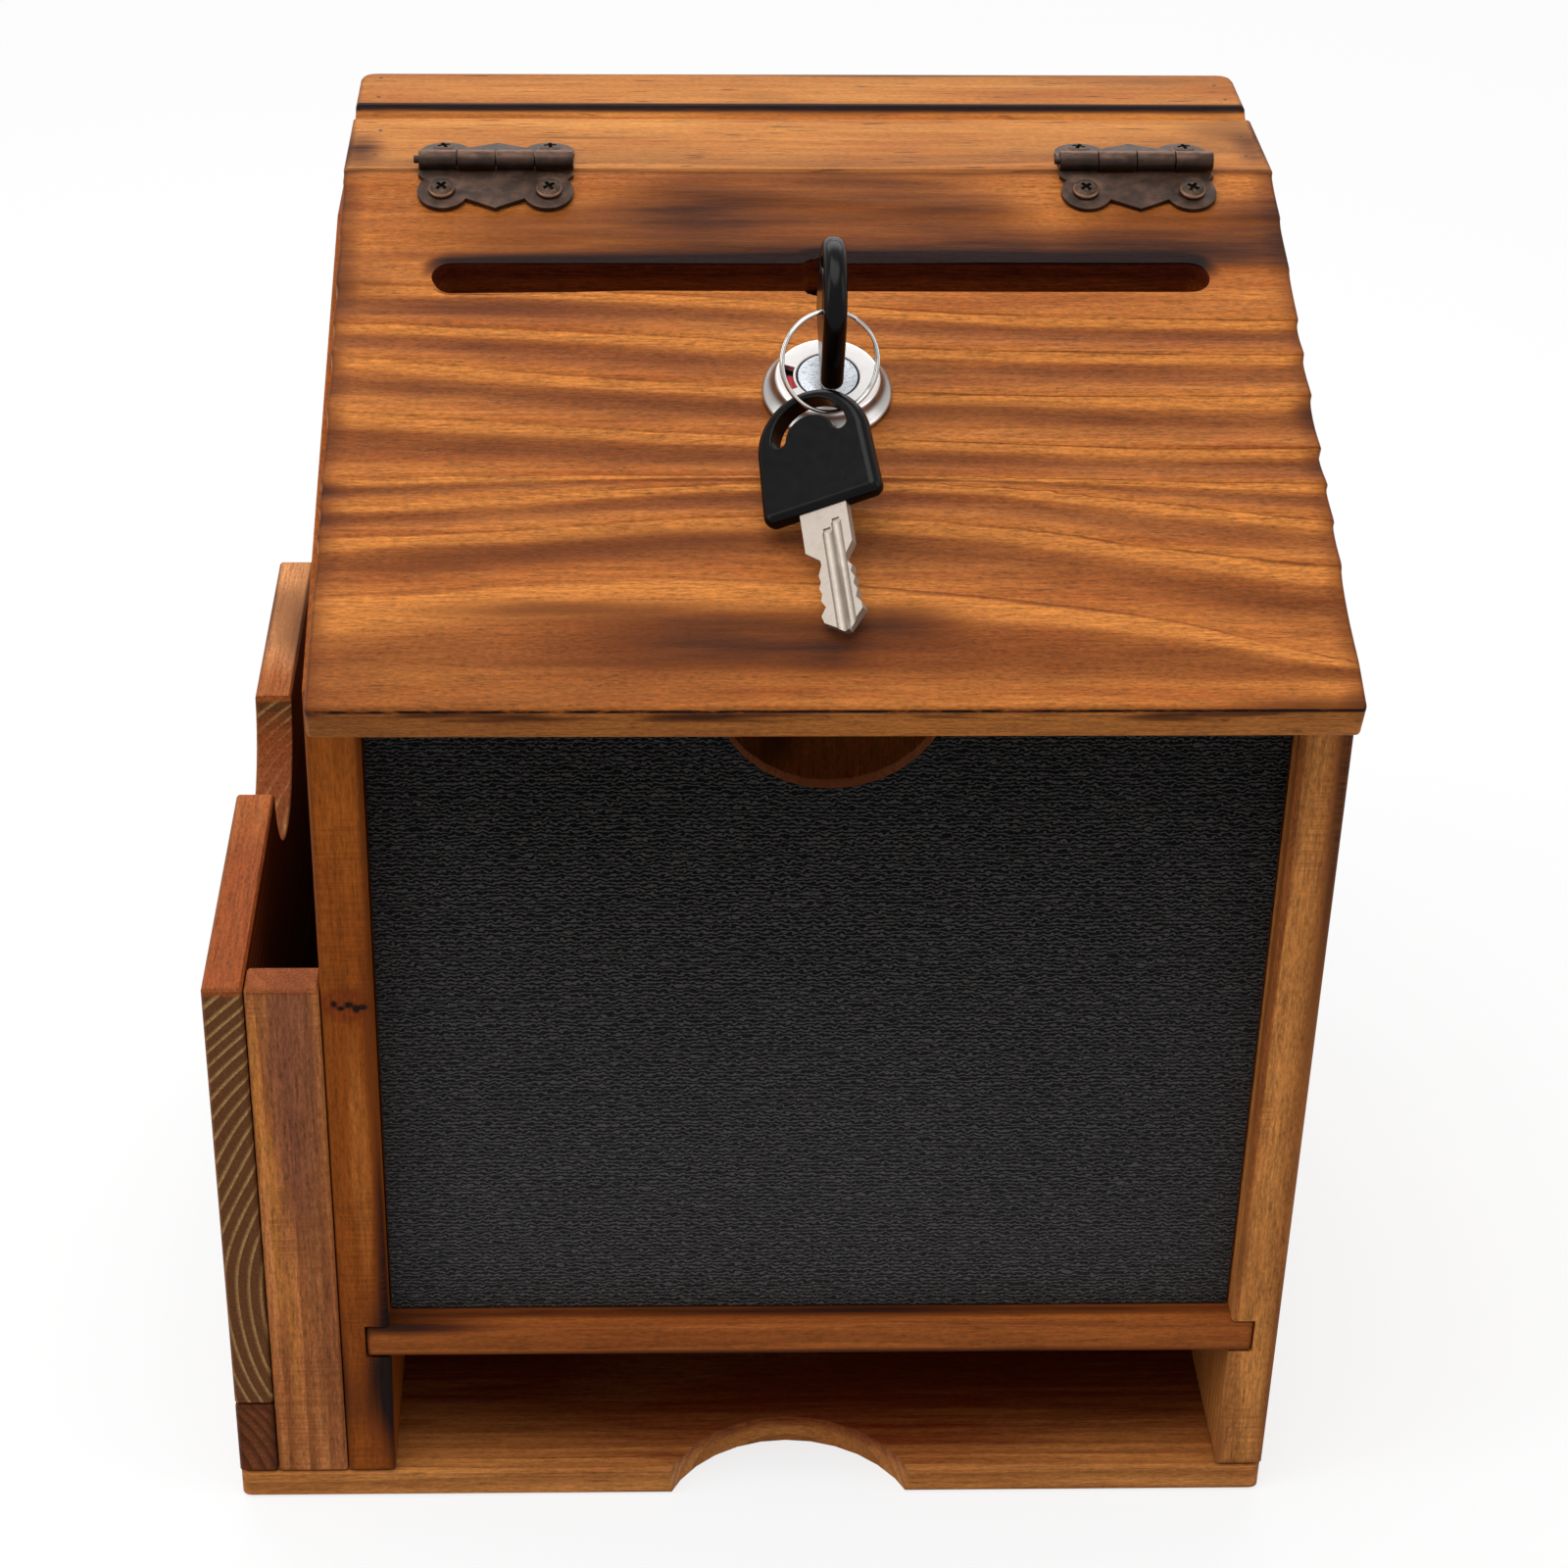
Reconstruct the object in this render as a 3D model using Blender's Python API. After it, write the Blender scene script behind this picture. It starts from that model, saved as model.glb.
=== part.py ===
"""Suggestion box of scorched softwood: a sloping, hinged and locking lid over a ballot
compartment, a card tray under it, a black front panel and a narrow pocket on the left side.

Metres, +X to the right, +Y to the back, +Z up. The origin is on the underside of the base,
under the middle of the body (the pocket stands outside it). The lid and what it carries are
modelled in the lid's own frame, whose origin is on the hinge pins: x across, y up the slope
and z square to the lid. The lock, its keys and their ring are modelled in the lock's frame,
whose origin is the middle of the lock's face.
"""

import math

import bmesh
import bpy
from mathutils import Matrix, Vector

# Clearances
SEAT_GAP = 0.0003
METAL_GAP = 0.00015
OVERRUN = 0.002
WELD = 0.000001

# Body
BODY_WIDTH = 0.184
BODY_DEPTH = 0.168
SIDE_THICKNESS = 0.0093
BOARD_EASE = 0.0005

# Base
BASE_THICKNESS = 0.0064
BASE_CORNER = 0.0018
FINGER_CUT_RADIUS = 0.0263
FINGER_CUT_SIDE = -0.0035
FINGER_CUT_AHEAD = 0.0108

# Shelf between the card tray and the ballot compartment
SHELF_HEIGHT = 0.0367
SHELF_THICKNESS = 0.00735
DADO_DEPTH = 0.00465

# Back board
BACK_THICKNESS = 0.006

# Front panel
PANEL_RECESS = 0.0055
PANEL_THICKNESS = 0.0032
PANEL_EASE = 0.0002
PANEL_TOP_GAP = 0.0005
PANEL_NOTCH_RADIUS = 0.0213
PANEL_NOTCH_SIDE = 0.0005
PANEL_NOTCH_BELOW_TOP = 0.0042

# Lid
LID_SLOPE = math.radians(20.39)
LID_LENGTH = 0.13535
LID_WIDTH = 0.18086
LID_THICKNESS = 0.0082
LID_OVERHANG = 0.01343
LID_FRONT_HEIGHT = 0.19163
LID_SEAM_GAP = 0.0003
LID_EASE = 0.0008
RIPPLE_COUNT = 9
RIPPLE_STEPS = 6
RIPPLE_DEPTH = 0.0005
RIPPLE_FIRST = 0.014
RIPPLE_LAST = 0.0985
SLOT_UP_LID = 0.1055
SLOT_WIDTH = 0.0078
SLOT_LENGTH = 0.1472
SLOT_SIDE = 0.0012
SLOT_DRILL_RADIUS = 0.00525

# Fixed top board
COVE_RADIUS = 0.0046
COVE_DEPTH = 0.0022
COVE_BEHIND_SEAM = 0.0317
TOP_REAR_CORNER = 0.003

# Pocket on the left side
POCKET_GAP = 0.0143
POCKET_PANEL_THICKNESS = 0.0075
POCKET_PANEL_HEIGHT = 0.1182
POCKET_STAVE_HEIGHT = 0.0179
POCKET_WALL_THICKNESS = 0.0077
POCKET_WALL_BELOW_PANEL = 0.0002
POCKET_NOTCH_RADIUS = 0.0198
POCKET_NOTCH_FROM_FRONT = 0.0877

# Hinges
HINGE_LENGTH = 0.0300
HINGE_LEFT_INSET = 0.02958
HINGE_RIGHT_INSET = 0.02703
PIN_RISE = 0.0022
PIN_RADIUS = 0.00078
PIN_FIT = 0.00022
PIN_PROUD = 0.0009
BARREL_RADIUS = 0.00187
KNUCKLE_COUNT = 4
KNUCKLE_GAP = 0.00025
LEAF_THICKNESS = 0.0008
PLATE_PAST_PIN = 0.0003
LEAF_EAR_SIDE = 0.0101
LEAF_EAR_REACH = 0.00745
LEAF_EAR_RADIUS = 0.00495
LEAF_HORN_REACH = 0.0030
LEAF_NOTCH_SIDE = 0.0138
LEAF_NOTCH_REACH = 0.0042
LEAF_CUSP_SIDE = 0.0051
LEAF_CUSP_REACH = 0.00985
LEAF_TIP_REACH = 0.0123

# Hinge screws
SCREW_SIDE = 0.01035
SCREW_REACH = 0.0075
SCREW_HEAD_RADIUS = 0.0025
SCREW_HEAD_HEIGHT = 0.0013
SCREW_RIM_HEIGHT = 0.0005
SCREW_SHANK_RADIUS = 0.0010
SCREW_LENGTH = 0.0064
SCREW_POINT = 0.0018
SCREW_HOLE_FIT = 0.00025
CROSS_REACH = 0.0014
CROSS_HALF_WIDTH = 0.00032
CROSS_DEPTH = 0.0007
CROSS_TURN = math.radians(22.0)

# Lock body
LOCK_UP_LID = 0.075
LOCK_SIDE = 0.001
FACE_RISE = 0.0042
FACE_RADIUS = 0.0094
FLANGE_RADIUS = 0.01195
FLANGE_NECK_RADIUS = 0.0103
FLANGE_NECK_DROP = 0.0019
FLANGE_FOOT_DROP = 0.0033
FACE_ROUNDING = 0.0004
BARREL_OUTER_RADIUS = 0.008
BARREL_FLAT = 0.0072
BARREL_LENGTH = 0.0178
LOCK_HOLE_FIT = 0.0003
BORE_RADIUS = 0.0058
FACE_WALL = 0.0012
CHANNEL_RADIUS = 0.009
CHANNEL_HEIGHT = 0.0013
WINDOW_INNER = 0.0063
WINDOW_OUTER = 0.0083
WINDOW_FROM = math.radians(160.0)
WINDOW_SWEEP = math.radians(48.0)
INDICATOR_FROM = math.radians(172.0)
INDICATOR_SWEEP = math.radians(95.0)

# Lock nut under the lid
NUT_ACROSS_FLATS = 0.020
NUT_THICKNESS = 0.003

# Plug, cam and cam screw
PLUG_RADIUS = 0.0055
TANG_HALF_WIDTH = 0.0024
CAM_THICKNESS = 0.002
CAM_HUB_RADIUS = 0.0075
CAM_ARM_HALF_WIDTH = 0.0055
CAM_REACH = 0.0285
CAM_SCREW_RADIUS = 0.0013
CAM_SCREW_DEPTH = 0.0032
CAM_SCREW_HEAD_RADIUS = 0.0038
CAM_SCREW_HEAD_HEIGHT = 0.0018

# Latch rail, which the cam turns under
RAIL_UP_LID = 0.054
RAIL_WIDTH = 0.012
RAIL_THICKNESS = 0.0075
RAIL_BELOW_LID = 0.0006

# Keys
KEY_STANDOFF = 0.0065
HEAD_THICKNESS = 0.0042
HEAD_HALF_WIDTH = 0.0112
HEAD_ARCH_RADIUS = 0.0106
HEAD_ARCH_HEIGHT = 0.0132
HEAD_CORNER = 0.0013
HEAD_EASE = 0.00045
HOLE_OUTER_RADIUS = 0.00725
HOLE_OUTER_HEIGHT = 0.0144
HOLE_INNER_RADIUS = 0.00475
HOLE_INNER_HEIGHT = 0.0137
HOLE_END_HEIGHT = 0.0153
BLADE_LENGTH = 0.0238
BLADE_HALF_WIDTH = 0.0044
BLADE_THICKNESS = 0.002
BLADE_IN_HEAD = 0.0055
BLADE_GROOVE_DEPTH = 0.0004
GROOVE_HALF_WIDTH = 0.0007
KEYWAY_FIT = 0.0002
# Each pair is a share of the blade's half width and a share of its length, from head to tip.
BLADE_LEFT_SHARES = (
    (-1.0, 0.31), (-0.44, 0.40), (-0.42, 0.44), (-0.60, 0.52), (-0.54, 0.57), (-0.66, 0.62),
    (-0.57, 0.67), (-0.66, 0.72), (-0.50, 0.78), (-0.74, 0.84), (-0.66, 0.90),
)
BLADE_RIGHT_SHARES = (
    (1.0, 0.32), (0.60, 0.42), (0.62, 0.46), (0.84, 0.51), (0.75, 0.56), (0.88, 0.61),
    (0.79, 0.66), (0.90, 0.71), (0.80, 0.77), (0.98, 0.82), (1.0, 0.87),
)
BLADE_TIP_SHARES = ((0.08, 1.0), (0.28, 1.0))
# Each groove's middle, as a share of the half width, and its start, as a share of the length.
GROOVE_SHARES = ((0.04, 0.16), (0.46, 0.10))

# Ring, and how it and the second key hang
WIRE_RADIUS = 0.00036
WIRE_PITCH = 0.00078
RING_RADIUS = 0.00885
RING_STEPS = 30
RING_SPLIT = math.radians(53.0)
RING_RAMP = math.radians(30.0)
WIRE_OUT_IN_KEY_1 = 0.00614
WIRE_OUT_IN_KEY_2 = 0.00608
WIRE_IN_KEY_1 = math.radians(12.75)
WIRE_IN_KEY_2 = math.radians(76.73)
RING_AT_KEY_1 = math.radians(79.74)
RING_AT_KEY_2 = math.radians(-111.06)
RING_HEADING = math.radians(7.72)
RING_LEAN = math.radians(49.36)
RING_ROLL = math.radians(8.18)
KEY_2_HEADING = math.radians(6.66)
KEY_2_LEAN = math.radians(13.94)
KEY_2_ROLL = math.radians(-27.84)

# Counts of segments
CUT_STEPS = 32
TURN_STEPS = 32
SMALL_TURN_STEPS = 14
CORNER_STEPS = 4
SMOOTH_ANGLE = math.radians(35.0)
EASE_ANGLE = math.radians(50.0)

# Places worked out from the sizes above
FRONT = -BODY_DEPTH / 2
REAR = BODY_DEPTH / 2
HALF_BODY = BODY_WIDTH / 2
HALF_INSIDE = HALF_BODY - SIDE_THICKNESS
HALF_LID = LID_WIDTH / 2
HINGE_LEFT = HINGE_LEFT_INSET - HALF_LID
HINGE_RIGHT = HALF_LID - HINGE_RIGHT_INSET
BASE_TOP = BASE_THICKNESS
LID_DROP = LID_THICKNESS / math.cos(LID_SLOPE)
SEAM_Y = FRONT - LID_OVERHANG + LID_LENGTH * math.cos(LID_SLOPE)
SEAM_Z = LID_FRONT_HEIGHT + LID_LENGTH * math.sin(LID_SLOPE)
TOP_UNDERSIDE = SEAM_Z - LID_DROP
PIN_AHEAD = PIN_RISE * math.tan(LID_SLOPE / 2)
PIN_Y = SEAM_Y - PIN_AHEAD
PIN_Z = SEAM_Z + PIN_RISE
LID_TOP = -PIN_RISE
LID_UNDERSIDE = LID_TOP - LID_THICKNESS
LID_FRONT = -PIN_AHEAD - LID_LENGTH
FLANGE_BOTTOM = METAL_GAP - FACE_RISE
BARREL_BOTTOM = FLANGE_BOTTOM - BARREL_LENGTH
CAM_TOP = BARREL_BOTTOM - SEAT_GAP
CAM_BOTTOM = CAM_TOP - CAM_THICKNESS
TANG_BOTTOM = CAM_BOTTOM
NUT_TOP = -FACE_RISE - LID_THICKNESS - SEAT_GAP
POCKET_PANEL_INNER = -HALF_BODY - POCKET_GAP
POCKET_PANEL_OUTER = POCKET_PANEL_INNER - POCKET_PANEL_THICKNESS
POCKET_TOP = BASE_TOP + POCKET_PANEL_HEIGHT
HOLE_MIDDLE_HEIGHT = (HOLE_OUTER_HEIGHT + HOLE_INNER_HEIGHT) / 2

# An outline given as (y, z) pairs and extruded along x
ACROSS = Matrix(((0, 0, 1), (1, 0, 0), (0, 1, 0))).to_4x4()
# An outline given as (x, z) pairs and extruded along y
ALONG = Matrix(((1, 0, 0), (0, 0, 1), (0, 1, 0))).to_4x4()
# A key stood on its blade in the lock: its width runs down the slope, its length off the lid
KEY_UPRIGHT = Matrix(((0, 0, -1), (-1, 0, 0), (0, 1, 0))).to_4x4()


def clear_scene():
    """Remove every object, so that the script can be run again."""
    for thing in list(bpy.data.objects):
        bpy.data.objects.remove(thing, do_unlink=True)


def lid_underside_at(y):
    """Height of the closed lid's underside above a place on the y axis."""
    return TOP_UNDERSIDE + (y - SEAM_Y) * math.tan(LID_SLOPE)


def arc(centre, radius, start, sweep, steps):
    """Points along an arc, both ends included."""
    angles = [start + sweep * step / steps for step in range(steps + 1)]
    return [(centre[0] + radius * math.cos(a), centre[1] + radius * math.sin(a)) for a in angles]


def circle(centre, radius, steps):
    """Points round a whole circle, the first not repeated."""
    return arc(centre, radius, 0, math.tau, steps)[:-1]


def cut_circle(radius, half_flat, steps):
    """A circle about the origin with two flats, to the left and right."""
    angle = math.acos(half_flat / radius)
    sweep = math.pi - 2 * angle
    back = arc((0, 0), radius, angle, sweep, steps)
    return back + arc((0, 0), radius, math.pi + angle, sweep, steps)


def prism(outline, low, high, turn=None):
    """A closed bmesh: the outline extruded from low to high along its own z, then turned."""
    bm = bmesh.new()
    face = bm.faces.new([bm.verts.new((a, b, low)) for a, b in outline])
    grown = bmesh.ops.extrude_face_region(bm, geom=[face])
    moved = [item for item in grown["geom"] if isinstance(item, bmesh.types.BMVert)]
    bmesh.ops.translate(bm, verts=moved, vec=(0, 0, high - low))
    if turn:
        bmesh.ops.transform(bm, matrix=turn, verts=bm.verts)
    bmesh.ops.recalc_face_normals(bm, faces=bm.faces)
    return bm


def block(low, high):
    """A closed bmesh box between two corners."""
    outline = ((low[0], low[1]), (high[0], low[1]), (high[0], high[1]), (low[0], high[1]))
    return prism(outline, low[2], high[2])


def turned(profile, steps, ring=False):
    """A closed bmesh: a profile of (radius, height) pairs spun round the z axis."""
    bm = bmesh.new()
    verts = [bm.verts.new((radius, 0, height)) for radius, height in profile]
    edges = [bm.edges.new(pair) for pair in zip(verts, verts[1:])]
    if ring:
        edges.append(bm.edges.new((verts[-1], verts[0])))
    bmesh.ops.spin(
        bm, geom=verts + edges, axis=(0, 0, 1), cent=(0, 0, 0), angle=math.tau, steps=steps,
    )
    bmesh.ops.remove_doubles(bm, verts=bm.verts, dist=WELD)
    bmesh.ops.recalc_face_normals(bm, faces=bm.faces)
    return bm


def finish(name, colour, roughness, metallic=0.0):
    """A Principled material with the piece's colour, roughness and metallic value."""
    material = bpy.data.materials.new(name)
    material.use_nodes = True
    shader = material.node_tree.nodes["Principled BSDF"]
    shader.inputs["Base Color"].default_value = (*colour, 1.0)
    shader.inputs["Roughness"].default_value = roughness
    shader.inputs["Metallic"].default_value = metallic
    material.diffuse_color = (*colour, 1.0)
    return material


def place(thing, parent, matrix):
    """Link an object into the scene, in its parent's frame."""
    bpy.context.scene.collection.objects.link(thing)
    thing.parent = parent
    thing.matrix_local = matrix or Matrix()
    return thing


def add_piece(name, bm, material, parent=None, matrix=None, smooth=False):
    """Make an object of a bmesh, with its material."""
    mesh = bpy.data.meshes.new(name)
    bm.to_mesh(mesh)
    bm.free()
    mesh.materials.append(material)
    if smooth:
        mesh.shade_smooth()
        mesh.set_sharp_from_angle(angle=SMOOTH_ANGLE)
    return place(bpy.data.objects.new(name, mesh), parent, matrix)


def add_axis(name, parent, matrix):
    """An empty on a joint's axis, for the pieces that move with it."""
    axis = bpy.data.objects.new(name, None)
    axis.empty_display_size = HINGE_LENGTH / 2
    return place(axis, parent, matrix)


def ease(piece, width, segments=1):
    """Take the sharpness off a piece's long edges."""
    bevel = piece.modifiers.new("eased edges", "BEVEL")
    bevel.width = width
    bevel.segments = segments
    bevel.limit_method = "ANGLE"
    bevel.angle_limit = EASE_ANGLE


def cut(piece, name, bm, matrix=None):
    """Cut a shape, given in the piece's own frame, out of the piece."""
    mesh = bpy.data.meshes.new(name)
    bm.to_mesh(mesh)
    bm.free()
    cutter = bpy.data.objects.new(name, mesh)
    cutter.hide_render = True
    cutter.display_type = "WIRE"
    place(cutter, piece, matrix)
    boolean = piece.modifiers.new(name, "BOOLEAN")
    boolean.operation = "DIFFERENCE"
    boolean.solver = "EXACT"
    boolean.object = cutter


def join(piece, name, bm, matrix=None):
    """Weld a shape, given in the piece's own frame, to the piece."""
    cut(piece, name, bm, matrix)
    piece.modifiers[-1].operation = "UNION"


def rounded_corner(bm, at_x, at_y, radius):
    """Round the upright edge of a box that stands at a corner of its plan."""
    edges = [
        edge for edge in bm.edges
        if all(math.isclose(v.co.x, at_x, abs_tol=WELD) for v in edge.verts)
        and all(math.isclose(v.co.y, at_y, abs_tol=WELD) for v in edge.verts)
    ]
    bmesh.ops.bevel(bm, geom=edges, offset=radius, segments=CORNER_STEPS, affect="EDGES",
                    profile=0.5)


def build_base(wood):
    """The base, which runs on under the pocket, with its finger cut-out at the front."""
    bm = block((POCKET_PANEL_OUTER, FRONT, 0), (HALF_BODY, REAR, BASE_THICKNESS))
    rounded_corner(bm, POCKET_PANEL_OUTER, FRONT, BASE_CORNER)
    rounded_corner(bm, HALF_BODY, FRONT, BASE_CORNER)
    base = add_piece("base_board", bm, wood)
    ease(base, BOARD_EASE)
    finger = circle((FINGER_CUT_SIDE, FRONT - FINGER_CUT_AHEAD), FINGER_CUT_RADIUS, CUT_STEPS)
    cut(base, "cut_base_finger", prism(finger, -OVERRUN, BASE_THICKNESS + OVERRUN))


def build_sides(wood):
    """The two side boards: tops cut to the lid's slope, and a dado for the shelf in each."""
    foot = BASE_TOP + SEAT_GAP
    outline = (
        (FRONT, foot),
        (REAR, foot),
        (REAR, TOP_UNDERSIDE - SEAT_GAP),
        (SEAM_Y, TOP_UNDERSIDE - SEAT_GAP),
        (FRONT, lid_underside_at(FRONT) - SEAT_GAP),
    )
    dado_low = SHELF_HEIGHT - SEAT_GAP
    dado_high = SHELF_HEIGHT + SHELF_THICKNESS + SEAT_GAP
    for name, side in (("left", -1), ("right", 1)):
        inner = side * HALF_INSIDE
        outer = side * HALF_BODY
        board = add_piece(
            f"{name}_side_board",
            prism(outline, min(inner, outer), max(inner, outer), ACROSS),
            wood,
        )
        ease(board, BOARD_EASE)
        dado_floor = side * (HALF_INSIDE + DADO_DEPTH)
        past_face = side * (HALF_INSIDE - OVERRUN)
        low = (min(dado_floor, past_face), FRONT - OVERRUN, dado_low)
        high = (max(dado_floor, past_face), REAR - BACK_THICKNESS, dado_high)
        cut(board, f"cut_{name}_dado", block(low, high))


def build_back(wood):
    """The back board, between the side boards."""
    half = HALF_INSIDE - SEAT_GAP
    low = (-half, REAR - BACK_THICKNESS, BASE_TOP + SEAT_GAP)
    high = (half, REAR, TOP_UNDERSIDE - SEAT_GAP)
    ease(add_piece("back_board", block(low, high), wood), BOARD_EASE)


def build_shelf(wood):
    """The shelf, let into the dados and open to the front."""
    half = HALF_INSIDE + DADO_DEPTH - SEAT_GAP
    low = (-half, FRONT, SHELF_HEIGHT)
    high = (half, REAR - BACK_THICKNESS - SEAT_GAP, SHELF_HEIGHT + SHELF_THICKNESS)
    ease(add_piece("compartment_shelf", block(low, high), wood), BOARD_EASE)


def build_front_panel(black):
    """The thin black panel, set back between the side boards, with a finger notch on top."""
    half = HALF_INSIDE - SEAT_GAP
    face = FRONT + PANEL_RECESS
    top = lid_underside_at(face) - PANEL_TOP_GAP
    low = (-half, face, SHELF_HEIGHT + SHELF_THICKNESS + SEAT_GAP)
    high = (half, face + PANEL_THICKNESS, top)
    panel = add_piece("front_panel", block(low, high), black)
    ease(panel, PANEL_EASE)
    notch = circle(
        (PANEL_NOTCH_SIDE, top - PANEL_NOTCH_BELOW_TOP), PANEL_NOTCH_RADIUS, CUT_STEPS,
    )
    through = prism(notch, face - OVERRUN, face + PANEL_THICKNESS + OVERRUN, ALONG)
    cut(panel, "cut_panel_notch", through)


def build_top_board(wood):
    """The fixed board behind the lid, with a cove milled along it."""
    low = (-HALF_LID, SEAM_Y, TOP_UNDERSIDE)
    bm = block(low, (HALF_LID, REAR, SEAM_Z))
    rounded_corner(bm, -HALF_LID, REAR, TOP_REAR_CORNER)
    rounded_corner(bm, HALF_LID, REAR, TOP_REAR_CORNER)
    board = add_piece("top_board", bm, wood)
    ease(board, BOARD_EASE)
    centre = (SEAM_Y + COVE_BEHIND_SEAM, SEAM_Z + COVE_RADIUS - COVE_DEPTH)
    reach = HALF_LID + OVERRUN
    cove = prism(circle(centre, COVE_RADIUS, CUT_STEPS), -reach, reach, ACROSS)
    cut(board, "cut_cove", cove)
    for hinge, middle in (("left", HINGE_LEFT), ("right", HINGE_RIGHT)):
        for hand, side in (("a", -1), ("b", 1)):
            hole = screw_hole()
            spot = Matrix.Translation((middle + side * SCREW_SIDE, PIN_Y + SCREW_REACH, SEAM_Z))
            cut(board, f"cut_top_{hinge}_{hand}", hole, spot)


def screw_hole():
    """The blind hole that a hinge screw stands in, from the board's surface down."""
    radius = SCREW_SHANK_RADIUS + SCREW_HOLE_FIT
    return prism(circle((0, 0), radius, SMALL_TURN_STEPS), -SCREW_LENGTH, OVERRUN)


def lid_outline():
    """The lid's section in its own frame, rippled along the top where the grain is brushed."""
    rear = -PIN_AHEAD - LID_SEAM_GAP / math.cos(LID_SLOPE)
    outline = [(LID_FRONT, LID_UNDERSIDE), (rear - LID_THICKNESS * math.tan(LID_SLOPE),
                                            LID_UNDERSIDE), (rear, LID_TOP)]
    count = RIPPLE_COUNT * RIPPLE_STEPS
    for step in range(count, -1, -1):
        along = LID_FRONT + RIPPLE_FIRST + (RIPPLE_LAST - RIPPLE_FIRST) * step / count
        wave = (1 - math.cos(math.tau * step / RIPPLE_STEPS)) / 2
        outline.append((along, LID_TOP - RIPPLE_DEPTH * wave))
    outline.append((LID_FRONT, LID_TOP))
    return outline


def build_lid(wood, axis):
    """The lid board, with the ballot slot, the lock's hole and the hinge screws' holes."""
    lid = add_piece("lid_board", prism(lid_outline(), -HALF_LID, HALF_LID, ACROSS), wood, axis)
    ease(lid, LID_EASE)
    low = LID_UNDERSIDE - OVERRUN
    high = LID_TOP + OVERRUN
    slot_y = LID_FRONT + SLOT_UP_LID
    radius = SLOT_WIDTH / 2
    straight = SLOT_LENGTH / 2 - radius
    half_turn = CUT_STEPS // 2
    slot = arc((SLOT_SIDE + straight, slot_y), radius, -math.pi / 2, math.pi, half_turn)
    slot += arc((SLOT_SIDE - straight, slot_y), radius, math.pi / 2, math.pi, half_turn)
    cut(lid, "cut_slot", prism(slot, low, high))
    drill = circle((SLOT_SIDE, slot_y), SLOT_DRILL_RADIUS, CUT_STEPS)
    cut(lid, "cut_slot_drill", prism(drill, low, high))
    hole = cut_circle(
        BARREL_OUTER_RADIUS + LOCK_HOLE_FIT, BARREL_FLAT + LOCK_HOLE_FIT, half_turn,
    )
    lock_y = LID_FRONT + LOCK_UP_LID
    cut(lid, "cut_lock_hole", prism([(LOCK_SIDE + a, lock_y + b) for a, b in hole], low, high))
    for hinge, middle in (("left", HINGE_LEFT), ("right", HINGE_RIGHT)):
        for hand, side in (("a", -1), ("b", 1)):
            spot = Matrix.Translation((middle + side * SCREW_SIDE, -SCREW_REACH, LID_TOP))
            cut(lid, f"cut_lid_{hinge}_{hand}", screw_hole(), spot)


def build_latch_rail(wood, rest):
    """The rail across the box, under the lid and along its slope, that the cam locks under."""
    half = HALF_INSIDE - SEAT_GAP
    middle = LID_FRONT + RAIL_UP_LID
    top = LID_UNDERSIDE - RAIL_BELOW_LID
    low = (-half, middle - RAIL_WIDTH / 2, top - RAIL_THICKNESS)
    high = (half, middle + RAIL_WIDTH / 2, top)
    ease(add_piece("latch_rail", block(low, high), wood, None, rest), BOARD_EASE)


def build_pocket(wood, dark_wood):
    """The pocket: a two-stave outer panel and an end wall at the front and at the back."""
    seam = BASE_TOP + POCKET_STAVE_HEIGHT
    low = (POCKET_PANEL_OUTER, FRONT, seam + SEAT_GAP)
    high = (POCKET_PANEL_INNER, REAR, POCKET_TOP)
    panel = add_piece("pocket_panel", block(low, high), wood)
    ease(panel, BOARD_EASE)
    notch = circle(
        (FRONT + POCKET_NOTCH_FROM_FRONT, POCKET_TOP), POCKET_NOTCH_RADIUS, CUT_STEPS,
    )
    through = prism(notch, POCKET_PANEL_OUTER - OVERRUN, POCKET_PANEL_INNER + OVERRUN, ACROSS)
    cut(panel, "cut_pocket_notch", through)
    low = (POCKET_PANEL_OUTER, FRONT, BASE_TOP + SEAT_GAP)
    high = (POCKET_PANEL_INNER, REAR, seam)
    ease(add_piece("pocket_panel_stave", block(low, high), dark_wood), BOARD_EASE)
    wall_top = POCKET_TOP - POCKET_WALL_BELOW_PANEL
    for name, front in (("front", FRONT), ("back", REAR - POCKET_WALL_THICKNESS)):
        low = (POCKET_PANEL_INNER + SEAT_GAP, front, BASE_TOP + SEAT_GAP)
        high = (-HALF_BODY - SEAT_GAP, front + POCKET_WALL_THICKNESS, wall_top)
        ease(add_piece(f"pocket_{name}_wall", block(low, high), wood), BOARD_EASE)


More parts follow.
